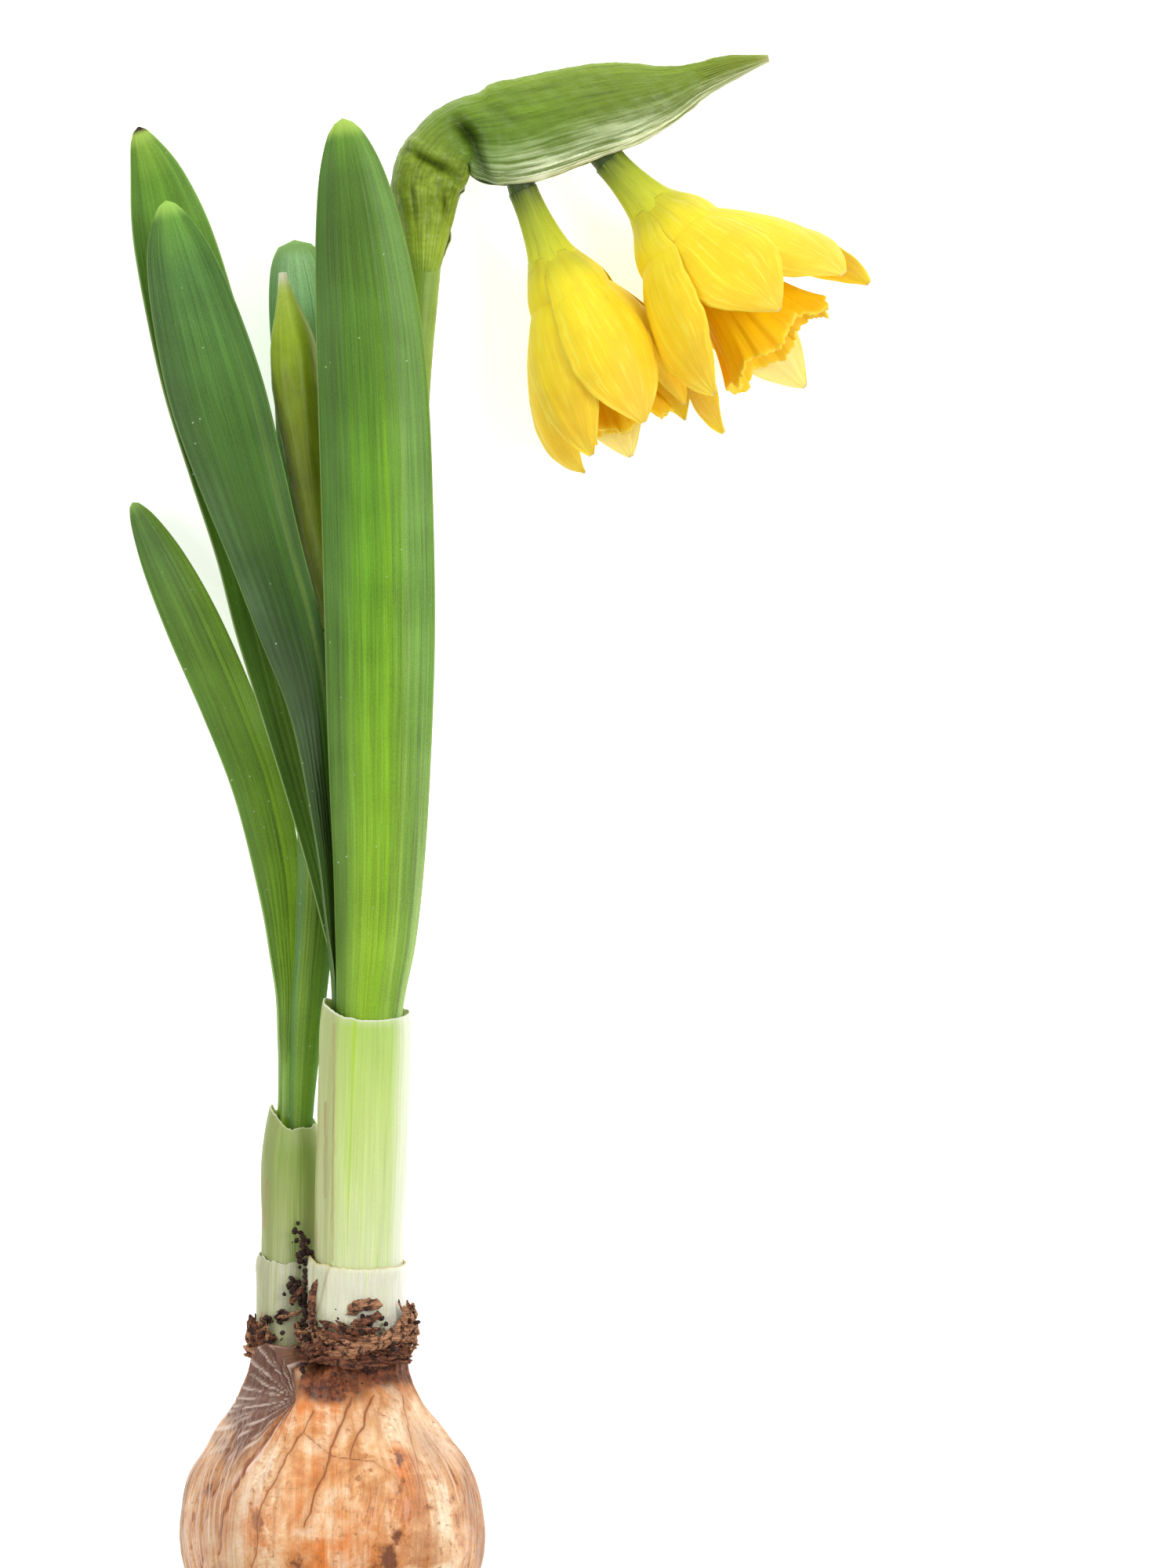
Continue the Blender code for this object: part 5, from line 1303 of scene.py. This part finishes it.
def bulbFinish():
    finish = Finish("bulb_skin", 0.30, flesh=(0.14, (1.0, 0.5, 0.25), 1.6), Specular_IOR_Level=0.15,
                    Coat_Roughness=0.16)
    painted = finish.start.painted
    broad = finish.ringStreaks(2.2, 1.4, 0.0, 3, 0.55)
    fibre = finish.ringStreaks(34, 3.0, 0.0, 4, 0.62, 0.5)
    thread = finish.ringStreaks(70, 5.0, 0.0, 3, 0.6, 0.4)
    streaky = finish.ringStreaks(4.0, 2.4, 0.0, 4, 0.55, 0.6)
    mottle = streaky * 0.5 + finish.cloud(0.22, 4, 0.5, 0.9) * 0.5
    grain, speck = finish.cloud(2.4, 5, 0.68), finish.cloud(0.95, 5, 0.7, 0.6)
    blotch, stained, film, rind = (painted(label) for label in ("blotch", "stained", "film", "rind"))
    tan = broad.between(0.46, 0.62) * speck.between(0.36, 0.6)
    freckles = speck.between(0.56, 0.66) * (0.3 + broad.between(0.4, 0.6))
    ragged = (blotch + (speck - 0.5) * 1.1 + (grain - 0.5) * 0.5).between(0.38, 0.74)
    halo = (blotch + (speck - 0.5) * 0.9).between(0.12, 0.6)
    wet = (stained + (mottle - 0.5) * 0.8).between(0.25, 0.9)
    wetColour = speck.between(0.4, 0.62).mix((0.055, 0.014, 0.010), (0.30, 0.080, 0.028))
    cut = (painted("vein") + (grain - 0.5) * 0.5).between(0.28, 0.72)
    colour = finish.layered(
        mottle.ramp(bulbShape["colours"]),
        (painted("cream") * (0.20 + mottle.between(0.42, 0.56) * 0.8), (0.97, 0.82, 0.58)),
        # dark brown at the sides and the top: painted shade along the outline as seen from the front, real dry skin at
        # the top and in patches
        (rind * (0.50 + fibre.between(0.35, 0.6) * 0.45), (0.25, 0.095, 0.04)),
        (painted("greyed") * (0.3 + fibre * 0.8), (0.46, 0.27, 0.15)), (tan * 0.6, (0.62, 0.25, 0.075)),
        (painted("orange") * (0.30 + mottle.between(0.58, 0.42) * 0.9), (0.84, 0.235, 0.04)),
        (freckles * 0.75, (0.42, 0.17, 0.06)), (halo * 0.7, (0.62, 0.21, 0.05)),
        (ragged * 0.88, (0.17, 0.050, 0.022)), (wet * 0.95, wetColour),
        (painted("veinGlow"), (0.62, 0.25, 0.075)), (cut * 0.85, (0.30, 0.085, 0.025)))
    shade = 1 + (fibre - 0.5) * 0.50 + (thread - 0.5) * 0.45 + (grain - 0.5) * 0.60 + (mottle - 0.5) * 0.6
    # painted highlight: pale glints along the fine wrinkles of the shoulders
    gleam = painted("shoulder") * (fibre * 0.5 + thread * 0.5).between(0.47, 0.60)
    dirt = (speck + grain * 0.5).between(0.98, 1.06)
    colour = finish.layered(
        colour.scaled(shade), (film * 0.92, grain.mix((0.075, 0.028, 0.018), (0.22, 0.11, 0.08))),
        # pale lines on the film's wrinkle crests: painted reflection off the wrinkles
        (painted("fibre") * (0.75 + grain * 0.3) * 0.75, (0.80, 0.64, 0.55)),
        (gleam * 0.55, (0.86, 0.72, 0.62)), (dirt * 0.85, (0.035, 0.015, 0.01)))
    return finish.lay(
        Base_Color=colour, Roughness=0.24 + mottle * 0.22 + film * 0.18 + (grain - 0.5) * 0.2,
        Normal=finish.relief((fibre * 0.8 + thread * 0.6, 0.20, 0.8), (mottle * 0.8 + grain * 0.5, 0.40, 0.45)),
        Coat_Weight=((0.55 - mottle * 0.4 + stained * 0.3) * (1 - rind)).bounded())


def buildBulb():
    rows, around = bulbShape["rows"], bulbShape["around"]
    outline = smoothRows(bulbShape["outline"], rows)
    y, x0, halfWidth, halfDepth = (outline[:, i][:, None] for i in range(4))
    angle = 2 * math.pi * np.arange(around)[None, :] / around
    angle = angle - 0.4 * np.cos(angle)  # closer together on the front
    c, s = np.cos(angle), -np.sin(angle)
    x, z = x0 + halfWidth * c, halfDepth * s
    ys = y + 0 * angle
    front = held(s * 5)
    aside = x - bulbShape["notchAt"]
    notch = bell(np.minimum(aside, aside * 0.45), 2.6) * held(s * 2)
    ys = ys - (4.0 * notch + 0.5 * wander(x * 1.6, 0 * ys, 87, 5) * front) * held((ys - 33) / 8) ** 1.5
    top = held((y - 27) / 10)
    jx, jy = x + 0.12 * wander(x * 0.8, ys * 0.8, 71), ys + 0.12 * wander(x * 0.8, ys * 0.8, 72)
    vein, glow = np.zeros(x.shape), np.zeros(x.shape)
    for half, strength, route in bulbShape["veins"]:
        distance, share = lineDistance(jx, jy, route)
        thin = half * (1.25 - 0.6 * share) * (1 + 0.30 * wander(ys * 2.1, x * 2.1, 73, 3))
        vein = np.maximum(vein, strength * bell(distance, np.maximum(thin, 0.11)) * front)
        glow = np.maximum(glow, 0.75 * strength * bell(distance, 0.35 + 2.2 * half) * front)
    draw = np.random.default_rng(5)
    for heading in np.arange(-0.2, -math.pi + 0.1, -0.33):  # veins on the side away from the front
        middle = heading + 0.08 * wander(ys * 0.25, 0 * ys, int(draw.integers(1000)), 3)
        apart = np.abs(np.angle(np.exp(1j * (np.arctan2(s, c) - middle)))) * halfWidth
        low, high = draw.uniform(4, 16), draw.uniform(26, 36)
        ends = held((ys - low) / 4) * held((high - ys) / 4)
        vein = np.maximum(vein, 0.8 * ends * bell(apart, 0.17) * held(-s * 5))
    blotch = np.zeros(x.shape)
    for bx, by, wide, tall, turn, strength in bulbShape["blotches"]:
        blotch = np.maximum(blotch, strength * spot(jx, jy, bx, by, wide, tall, turn) * front)
    for _ in range(bulbShape["backBlotches"]):
        bx, by = draw.uniform(-16, 16), draw.uniform(6, 28)
        blotch = np.maximum(blotch, 0.8 * spot(jx, jy, bx, by, draw.uniform(0.4, 1.4), draw.uniform(0.6, 1.8))
                            * held(-s * 5))
    # the torn film on the left shoulder, whose wrinkles spread from one point at the neck
    dx, dy = x - bulbShape["filmFrom"][0], ys - bulbShape["filmFrom"][1]
    away, heading = np.hypot(dx, dy), np.arctan2(dy, -dx)  # 0 to the left, up to +pi/2
    upTo = held((1.6 - heading) / 0.2)
    film = held((heading + 0.95) / 0.25) * upTo * held(dx * -2 + 0.5)
    film = film * held((14.0 - away + 1.6 * wander(x * 0.8, ys * 0.8, 74)) / 5.5) * front
    rays = np.sin(heading * 30 + 2.0 * wander(away * 0.25, heading * 3, 75))
    rays = rays + 0.8 * np.sin(heading * 61 + 3 * wander(away * 0.3, heading * 4, 76))
    spread = held((heading + 1.35) / 0.25) * upTo * held(dx * -2)
    spread = spread * held((15.5 - away + 2.0 * wander(x * 0.8, ys * 0.8, 77)) / 5.0) * front
    # pale lines on the crests of the film's fine wrinkles: painted reflection off the wrinkles
    fibre = held(rays * 0.9 - 0.50) * spread * held(away / 1.5)
    area = {label: held(spots(x, ys, ovals)) for label, ovals in bulbShape["areas"].items()}
    shoulder = area["shoulder"] * np.clip(s * 4 + 1, 0.35, 1)
    stained = np.max([strength * spot(x, ys, *oval) for strength, *oval in bulbShape["stains"]], axis=0) * front
    stained = np.maximum(stained, 0.80 * held((ys - 35.0) / 1.8) * held(1 - 0.75 * front * (x < -4)))
    orangeBehind = 0.55 * held(-s) * held(0.5 + 0.6 * wander(x * 0.25, ys * 0.2, 78))
    orange = np.maximum(area["orange"] * front, orangeBehind)
    # a dark band at the sides as seen from the front is painted shade at the outline, over real brown dry skin; the
    # top band and the patches are real dry skin
    rind = held((np.abs(c) - 0.935 + 0.07 * wander(ys * 0.14, c * 7 + s * 3, 85)) / 0.05)
    rind = np.maximum(rind, np.clip((ys - 33.5 + wander(x * 0.6, ys * 0.4, 86)) / 3.5, 0, 0.9))
    for strength, *oval in bulbShape["drySkinPatches"]:
        rind = np.maximum(rind, strength * spot(x, ys, *oval))
    crumple = area["crumple"] * front
    push = 0.26 * wander(x * 0.35, ys * 0.30 + z * 0.2, 79, 4) + 0.10 * wander(c * 16, s * 16 + ys * 0.05, 80, 5)
    push += 0.16 * crumple * wander(x * 2.2, ys * 1.5, 81, 5) + 0.16 * spread * np.clip(rays, -1, 1.4)
    push += top * (0.10 * np.cos(angle * 44 + wander(ys * 0.4, c * 3, 82) * 2) - 0.05)
    push += 0.10 * shoulder * np.sin(angle * 120 + 3 * wander(ys * 0.25, c * 4, 83))
    push -= 0.16 * held(blotch) * (1 + 0.4 * wander(x * 3, ys * 3, 84)) + 0.10 * vein
    fold, _ = lineDistance(jx, jy, bulbShape["veins"][4][2][2:])
    push += 0.16 * bell(fold, 0.5) * front
    push *= held(np.minimum(ys / 3, 1))
    middle = place(np.stack([x0 + 0 * angle, ys, 0 * x], -1))
    rings = place(np.stack([x, ys, z], -1))
    rings = rings + unit(rings - middle) * (push * mm)[..., None]
    paint = {"vein": vein, "blotch": blotch, "film": film, "fibre": fibre, "shoulder": shoulder, "stained": stained,
             "orange": orange, "cream": area["cream"], "greyed": area["greyed"], "rind": rind, "veinGlow": glow}
    return skin("bulb_body", rings, bulbFinish(), {label: held(v) for label, v in paint.items()})


settle(buildBulb(), "bulb_skin", "bulb")
print("bulb made")


# Dry collars, shreds and soil at the neck
def dryFinish(name, dark, light, seed):
    finish = Finish(name, 0.82)
    stretched = finish.start.add("ShaderNodeMapping", None, {0: finish.place, 1: (seed, 0, 0), 3: (0.40, 4.2, 0.40)})
    strand = finish.start.noise(stretched, 1.0, 3, 0.6, 1.1)
    layer, grain = finish.cloud(1.1, 5, 0.68, 0.8), finish.cloud(5.0, 4, 0.7)
    between = tuple(0.55 * a + 0.45 * b for a, b in zip(dark, light))
    bleached = tuple(min(1, 1.5 * b) for b in light)
    colour = finish.layered(
        (strand * 0.65 + layer * 0.35).ramp(((0.30, dark), (0.47, between), (0.60, light), (0.74, bleached))),
        # painted highlight: pale light along the strands
        (strand.between(0.60, 0.72) * grain.between(0.4, 0.65) * 0.6, (0.58, 0.40, 0.27)),
        # painted shadow: near black between the layers
        (layer.between(0.50, 0.42) * 0.85, (0.022, 0.011, 0.009)))
    return finish.lay(
        Base_Color=colour, Roughness=0.62 + grain * 0.35, Coat_Weight=layer.between(0.55, 0.7) * 0.15,
        Normal=finish.relief((strand + grain * 0.25, 0.30, 0.8), (layer, 0.3, 0.4)))


# Bands go round a neck: middle x and z, radii, angles covered (0 right, 90 front), bottom and top
# y, how ragged the top is, how far the top stands out, seed.
collarBands = {
    "tunic_collar_right": (
        ((3.0, 3.0), (6.9, 5.5), (-97, 168), (40.4, 43.2), 0.9, 0.6, 91),
        ((3.0, 3.0), (6.6, 5.2), (-60, 20), (41.2, 45.0), 1.3, 0.2, 92),
        ((3.1, 3.0), (7.4, 6.0), (-80, 40), (41.4, 46.2), 1.2, -0.3, 93),
        ((2.8, 3.0), (7.5, 6.1), (20, 150), (39.2, 41.6), 0.7, 0.3, 94),
        ((3.0, 3.0), (7.1, 5.6), (120, 215), (41.6, 43.4), 0.7, 0.3, 95)),
    "tunic_collar_left": (
        ((-5.7, -2.5), (4.5, 4.4), (118, 340), (39.6, 43.0), 1.7, 0.5, 101),
        ((-5.7, -2.5), (4.9, 4.8), (126, 260), (40.0, 43.6), 2.0, 0.3, 102),
        ((-5.6, -2.5), (4.4, 4.3), (108, 165), (38.8, 41.4), 1.2, 0.5, 103)),
}
# Loose strips lie along plan points (x, y, z), with a width and a seed.
strips = (
    (((-1.9, 49.6, 6.0), (-2.6, 46.6, 6.2), (-2.3, 43.4, 6.6), (-1.2, 41.3, 7.8)), 0.9, 111),
    (((-0.9, 41.7, 8.3), (1.6, 40.7, 9.6), (4.6, 40.9, 9.8), (8.2, 42.2, 8.0), (9.6, 43.6, 5.4)), 1.1, 112),
    (((-1.9, 43.2, 7.4), (0.6, 42.4, 9.0), (3.2, 42.0, 9.5)), 0.9, 113),
    (((2.0, 45.2, 8.2), (3.6, 46.3, 8.9), (6.4, 46.4, 8.2)), 1.3, 114),
    (((2.4, 44.0, 8.8), (4.4, 44.4, 9.4), (6.2, 45.2, 8.6)), 0.8, 115),
    (((-10.9, 43.0, -0.6), (-10.0, 41.6, 0.4), (-9.0, 40.6, 1.4)), 0.7, 117),
    (((-9.7, 44.0, -0.4), (-8.6, 42.6, 1.0), (-7.2, 41.8, 1.8)), 0.8, 118),
    (((-3.2, 38.8, 5.6), (-1.0, 39.6, 7.4), (2.4, 38.9, 8.4), (6.6, 39.4, 7.6), (9.0, 40.4, 5.0)), 1.2, 119),
    (((-3.4, 48.6, 4.4), (-4.6, 47.6, 3.4), (-5.4, 46.4, 2.6)), 0.6, 120),
    (((-4.0, 45.4, 3.6), (-5.6, 45.0, 2.6), (-7.0, 44.6, 2.0)), 0.45, 121),
    (((9.4, 46.9, 3.4), (9.7, 44.0, 3.2), (9.0, 41.4, 3.8)), 0.8, 122),
    (((-2.6, 43.6, 6.6), (-1.8, 41.4, 8.0), (0.4, 40.2, 9.2), (3.0, 39.8, 9.6)), 0.8, 123),
    (((-1.6, 44.4, 7.6), (1.0, 43.4, 9.2), (3.6, 43.0, 9.7), (6.2, 43.4, 9.2)), 0.7, 124),
    (((3.0, 41.6, 9.9), (5.6, 41.9, 9.7), (8.0, 43.2, 8.0), (9.2, 44.9, 5.6)), 0.8, 125),
    (((0.2, 39.3, 9.0), (3.0, 38.6, 9.2), (6.0, 38.9, 8.6), (8.6, 39.6, 6.4)), 0.9, 126),
    (((1.2, 41.9, 9.6), (3.2, 41.2, 10.0), (5.4, 41.2, 9.8)), 0.6, 127),
    (((-10.2, 43.8, -0.2), (-9.2, 41.6, 1.2), (-7.8, 40.0, 2.8), (-6.2, 39.0, 4.2)), 0.9, 128),
    (((-11.3, 40.9, -1.0), (-10.2, 40.4, 0.8), (-8.6, 39.8, 2.4)), 0.6, 129),
    (((-10.6, 45.0, -1.2), (-10.0, 43.4, -0.2), (-9.6, 41.6, 0.6)), 0.5, 131),
)


def buildBand(name, facts, material):
    (mx, mz), (wide, deep), (a0, a1), (low, high), ragged, flare, seed = facts
    rows, columns = 26, max(40, int((a1 - a0) * 0.7))
    angle = np.radians(np.linspace(a0, a1, columns))[None, :]
    t = np.linspace(0, 1, rows)[:, None]
    c, s = np.cos(angle), np.sin(angle)
    torn = wander(angle * 5, 0 * angle, seed, 7, 1.9) * ragged
    torn = torn + 0.35 * ragged * wander(angle * 23, 0 * angle, seed + 1, 4)
    y = low + t * (high - low + torn) + 0.3 * (1 - t) * wander(angle * 4, 0 * angle, seed + 2)
    out = flare * t**2 + 0.40 * wander(angle * 5 + t * 2, t * 3, seed + 3, 3) * (0.35 + t)
    layers = np.sin(t * 19 + 3 * wander(angle * 2.4, t, seed + 5, 3))
    out = out + 0.22 * layers + 0.07 * wander(angle * 24, t * 9, seed + 4, 4)
    points = place(np.stack([mx + (wide + out) * c, y, mz + (deep + out) * s], -1))
    wall = 0.26 * (1 - 0.6 * t) * np.clip(np.minimum(angle - angle.min(), angle.max() - angle) * 8, 0.3, 1)
    return shell(name, points, wall, material)


def buildStrip(name, facts, material):
    route, wide, seed = facts
    rows, columns = 60, 12
    path = smoothRows(route, rows)
    _, side, up = frameAlong(path)
    t, u = np.linspace(0, 1, rows)[:, None], np.linspace(-1, 1, columns)[None, :]
    half = wide * 0.5 * np.clip(np.minimum(t, 1 - t) * 7, 0.25, 1) * (1 + 0.30 * wander(t * 14, u * 0.8, seed, 6))
    curl = 0.24 * wander(t * 5, u * 1.2, seed + 1, 5) - 0.34 * u**2 * wide
    points = path[:, None, :] + side[:, None, :] * (half * u)[..., None] + up[:, None, :] * curl[..., None]
    return shell(name, place(points), 0.22 + 0 * u * t, material)


def joinPieces(name, parts):
    for piece in bpy.context.selected_objects:
        piece.select_set(False)
    for piece in parts:
        piece.select_set(True)
    bpy.context.view_layer.objects.active = parts[0]
    bpy.ops.object.join()
    parts[0].name = parts[0].data.name = name
    return parts[0]


drySkins = {
    "dark": dryFinish("tunic_dark", (0.040, 0.014, 0.009), (0.30, 0.115, 0.060), 1.0),
    "tan": dryFinish("tunic_tan", (0.10, 0.034, 0.018), (0.60, 0.30, 0.155), 7.0),
}
for name, bands in collarBands.items():
    parts = [buildBand(f"{name}_{i}", band, drySkins["tan" if i % 2 == 0 else "dark"]) for i, band in enumerate(bands)]
    settle(joinPieces(name.replace("tunic_collar", "torn_tunic"), parts), "dry_tunic_brown", name)
parts = [buildStrip(f"strip_{i}", facts, drySkins["tan" if i % 2 else "dark"]) for i, facts in enumerate(strips)]
settle(joinPieces("tunic_strips", parts), "dry_tunic_brown")


def crumbTree():
    # a rough lump or flake on every point of the source, each turned and sized on its own
    values = {"Lump": (1.0, 1.0, 1.0), "Smallest": 0.4, "Largest": 1.0, "Roughness": 0.5, "Seed": 1, "Material": None}
    tree, given = geometryTree("crumbs", values)
    ball = given.add("GeometryNodeMeshIcoSphere", None, {"Radius": 1.0, "Subdivisions": 3})
    where = given.add("GeometryNodeInputPosition")
    dent = given.noise(where, 1.3, 3, 0.6) - 0.5
    push = 1 + dent * given.part("Roughness") * 2.4
    swollen = where.scaled(push)
    flat = given.add("ShaderNodeVectorMath", {"operation": "MULTIPLY"}, {0: swollen, 1: given.part("Lump")})
    lump = given.add("GeometryNodeSetPosition", None, {"Geometry": ball, "Position": flat})
    spin = given.random((-math.pi,) * 3, (math.pi,) * 3, given.part("Seed"))
    size = given.random(given.part("Smallest"), given.part("Largest"), given.part("Seed") + 3)
    scattered = given.add("GeometryNodeInstanceOnPoints", None,
                          {"Points": given.part("Geometry"), "Instance": lump, "Rotation": spin, "Scale": size * mm})
    endTree(scattered, given.part("Material"))
    return tree


def rootTree():
    # a tapering, crooked stub on every point of the source, leaning outwards
    values = {"Length": 2.0, "Thickness": 0.4, "Crook": 0.5, "Seed": 1, "Material": None}
    tree, given = geometryTree("rootStubs", values)
    length, thick, crook = (given.part(label) for label in ("Length", "Thickness", "Crook"))
    rod, where, share = given.rod(9, 12)
    spread = thick * (1 - share * 0.72)
    bow = (share * 4.2).maths("SINE") * crook * share
    shaped = given.vector((where * spread + bow) * mm, (where.part(1) * spread + bow * 0.6) * mm, share * length * mm)
    stub = given.add("GeometryNodeSetPosition", None, {"Geometry": rod, "Position": shaped})
    lean = math.pi / 2  # a rod stands on +Z and grows away from the bulb, along -Y
    spin = given.random((lean - 0.45, -0.35, -0.45), (lean + 0.45, 0.35, 0.45), given.part("Seed"))
    size = given.random(0.55, 1.0, given.part("Seed") + 2)
    standing = given.add("GeometryNodeInstanceOnPoints", None,
                         {"Points": given.part("Geometry"), "Instance": stub, "Rotation": spin, "Scale": size})
    endTree(standing, given.part("Material"))
    return tree


def pointMesh(name, points):
    mesh = bpy.data.meshes.new(name)
    mesh.from_pydata([tuple(p) for p in points], [], [])
    return mesh


# Heaps of soil: x, y, z of the middle, spread in mm, how many crumbs.
soilHeaps = (
    (-3.7, 54.0, 2.4, 0.9, 46), (-3.3, 52.0, 3.0, 0.8, 30), (-4.8, 48.3, 2.6, 0.8, 44), (-3.5, 46.4, 3.6, 0.8, 36),
    (-2.8, 50.0, 3.6, 0.6, 26), (-6.6, 45.0, 1.9, 0.6, 16), (-8.2, 44.4, 1.2, 0.5, 8), (-2.6, 44.2, 4.8, 1.0, 44),
    (-2.4, 42.0, 6.4, 1.1, 26), (1.0, 43.9, 8.6, 1.0, 7), (4.2, 44.6, 9.0, 0.8, 12), (6.8, 42.8, 8.4, 1.5, 8),
    (9.2, 44.0, 5.2, 1.1, 10), (-7.6, 41.6, 2.2, 1.1, 14), (-9.2, 41.6, 0.6, 1.1, 14), (-3.2, 38.6, 6.0, 0.8, 8),
    (3.4, 40.0, 9.2, 2.4, 14), (-4.5, 52.6, -1.6, 1.0, 20), (3.0, 42.0, -3.4, 2.6, 40), (-5.6, 41.0, -7.2, 2.0, 30),
)
draw = np.random.default_rng(17)
crumbs, roots = crumbTree(), rootTree()
spots = np.concatenate([draw.normal((x, y, z), (spread * 0.6, spread, spread * 0.5), (count, 3))
                        for x, y, z, spread, count in soilHeaps])
soilSkin = dryFinish("soil", (0.016, 0.008, 0.007), (0.075, 0.036, 0.026), 3.0)
values = {"Lump": (1.0, 0.8, 0.7), "Smallest": 0.07, "Largest": 0.50, "Roughness": 0.6, "Seed": 4,
          "Material": soilSkin}
soil = grow("soil_crumbs", crumbs, values, source=pointMesh("soilSpots", place(spots)))
settle(soil, "dry_tunic_brown")

# Flakes of dry tunic: middle x and z, radii, degrees round the neck, heights, how many.
flakeSpots = []
for mx, mz, wide, deep, a0, a1, low, high, count in (
        (3.0, 3.0, 7.5, 6.1, -95, 190, 40.2, 44.2, 80), (-5.7, -2.5, 4.9, 4.8, 118, 330, 39.6, 43.6, 60),
        (-0.4, 0.0, 9.9, 8.0, -180, 75, 38.4, 41.2, 60)):
    angle = np.radians(draw.uniform(a0, a1, count))
    reach = draw.normal(0.1, 0.25, count)
    flakeSpots.append(np.stack([mx + (wide + reach) * np.cos(angle), draw.uniform(low, high, count),
                                mz + (deep + reach) * np.sin(angle)], -1))
values = {"Lump": (1.0, 0.30, 0.14), "Smallest": 0.35, "Largest": 1.0, "Roughness": 0.7, "Seed": 9,
          "Material": drySkins["tan"]}
flakes = grow("tunic_flakes", crumbs, values, source=pointMesh("flakeSpots", place(np.concatenate(flakeSpots))))
settle(flakes, "dry_tunic_brown")
print("collars, flakes and soil made")


# Root crown
crownShape = {
    "profile": ((-0.3, 5.0), (-0.7, 5.9), (-1.2, 6.1), (-1.7, 5.4), (-2.0, 3.6), (-2.1, 1.2)),
    "rows": 22, "around": 72, "stubs": 90, "stubReach": 5.3,
}
profile = smoothRows([(y, r, 0.0) for y, r in crownShape["profile"]], crownShape["rows"])
angle = -2 * math.pi * np.arange(crownShape["around"])[None, :] / crownShape["around"]
ys, radius = profile[:, 0][:, None], profile[:, 1][:, None]
lumpy = 1 + 0.05 * wander(np.cos(angle) * 5, np.sin(angle) * 5, 61) + 0.03 * wander(angle * 9, ys * 3, 62)
radius = radius * lumpy
ys = ys + 0.18 * wander(radius * np.cos(angle) * 1.1, radius * np.sin(angle) * 1.1, 63)
ys = np.minimum(ys, -0.25)
rings = place(np.stack([radius * np.cos(-angle), ys, radius * np.sin(-angle)], -1))
crownSkin = dryFinish("root_crown_skin", (0.06, 0.03, 0.02), (0.26, 0.15, 0.09), 5.0)
plate = skin("crown_plate", rings[::-1], crownSkin)
share = np.sqrt(draw.uniform(0.02, 1, crownShape["stubs"]))
heading = draw.uniform(0, 2 * math.pi, crownShape["stubs"])
away = share * crownShape["stubReach"]
stubSpots = place(np.stack([away * np.cos(heading), -1.1 - 0.5 * (1 - share**2), away * np.sin(heading)], -1))
values = {"Length": 1.9, "Thickness": 0.42, "Crook": 0.5, "Seed": 6,
          "Material": dryFinish("root_stub_skin", (0.16, 0.09, 0.05), (0.46, 0.32, 0.19), 8.0)}
stubs = grow("root_stubs", roots, values, source=pointMesh("stubSpots", stubSpots))
settle(plate, "dry_tunic_brown", "root_crown")
settle(stubs, "dry_tunic_brown")
print("root crown made")
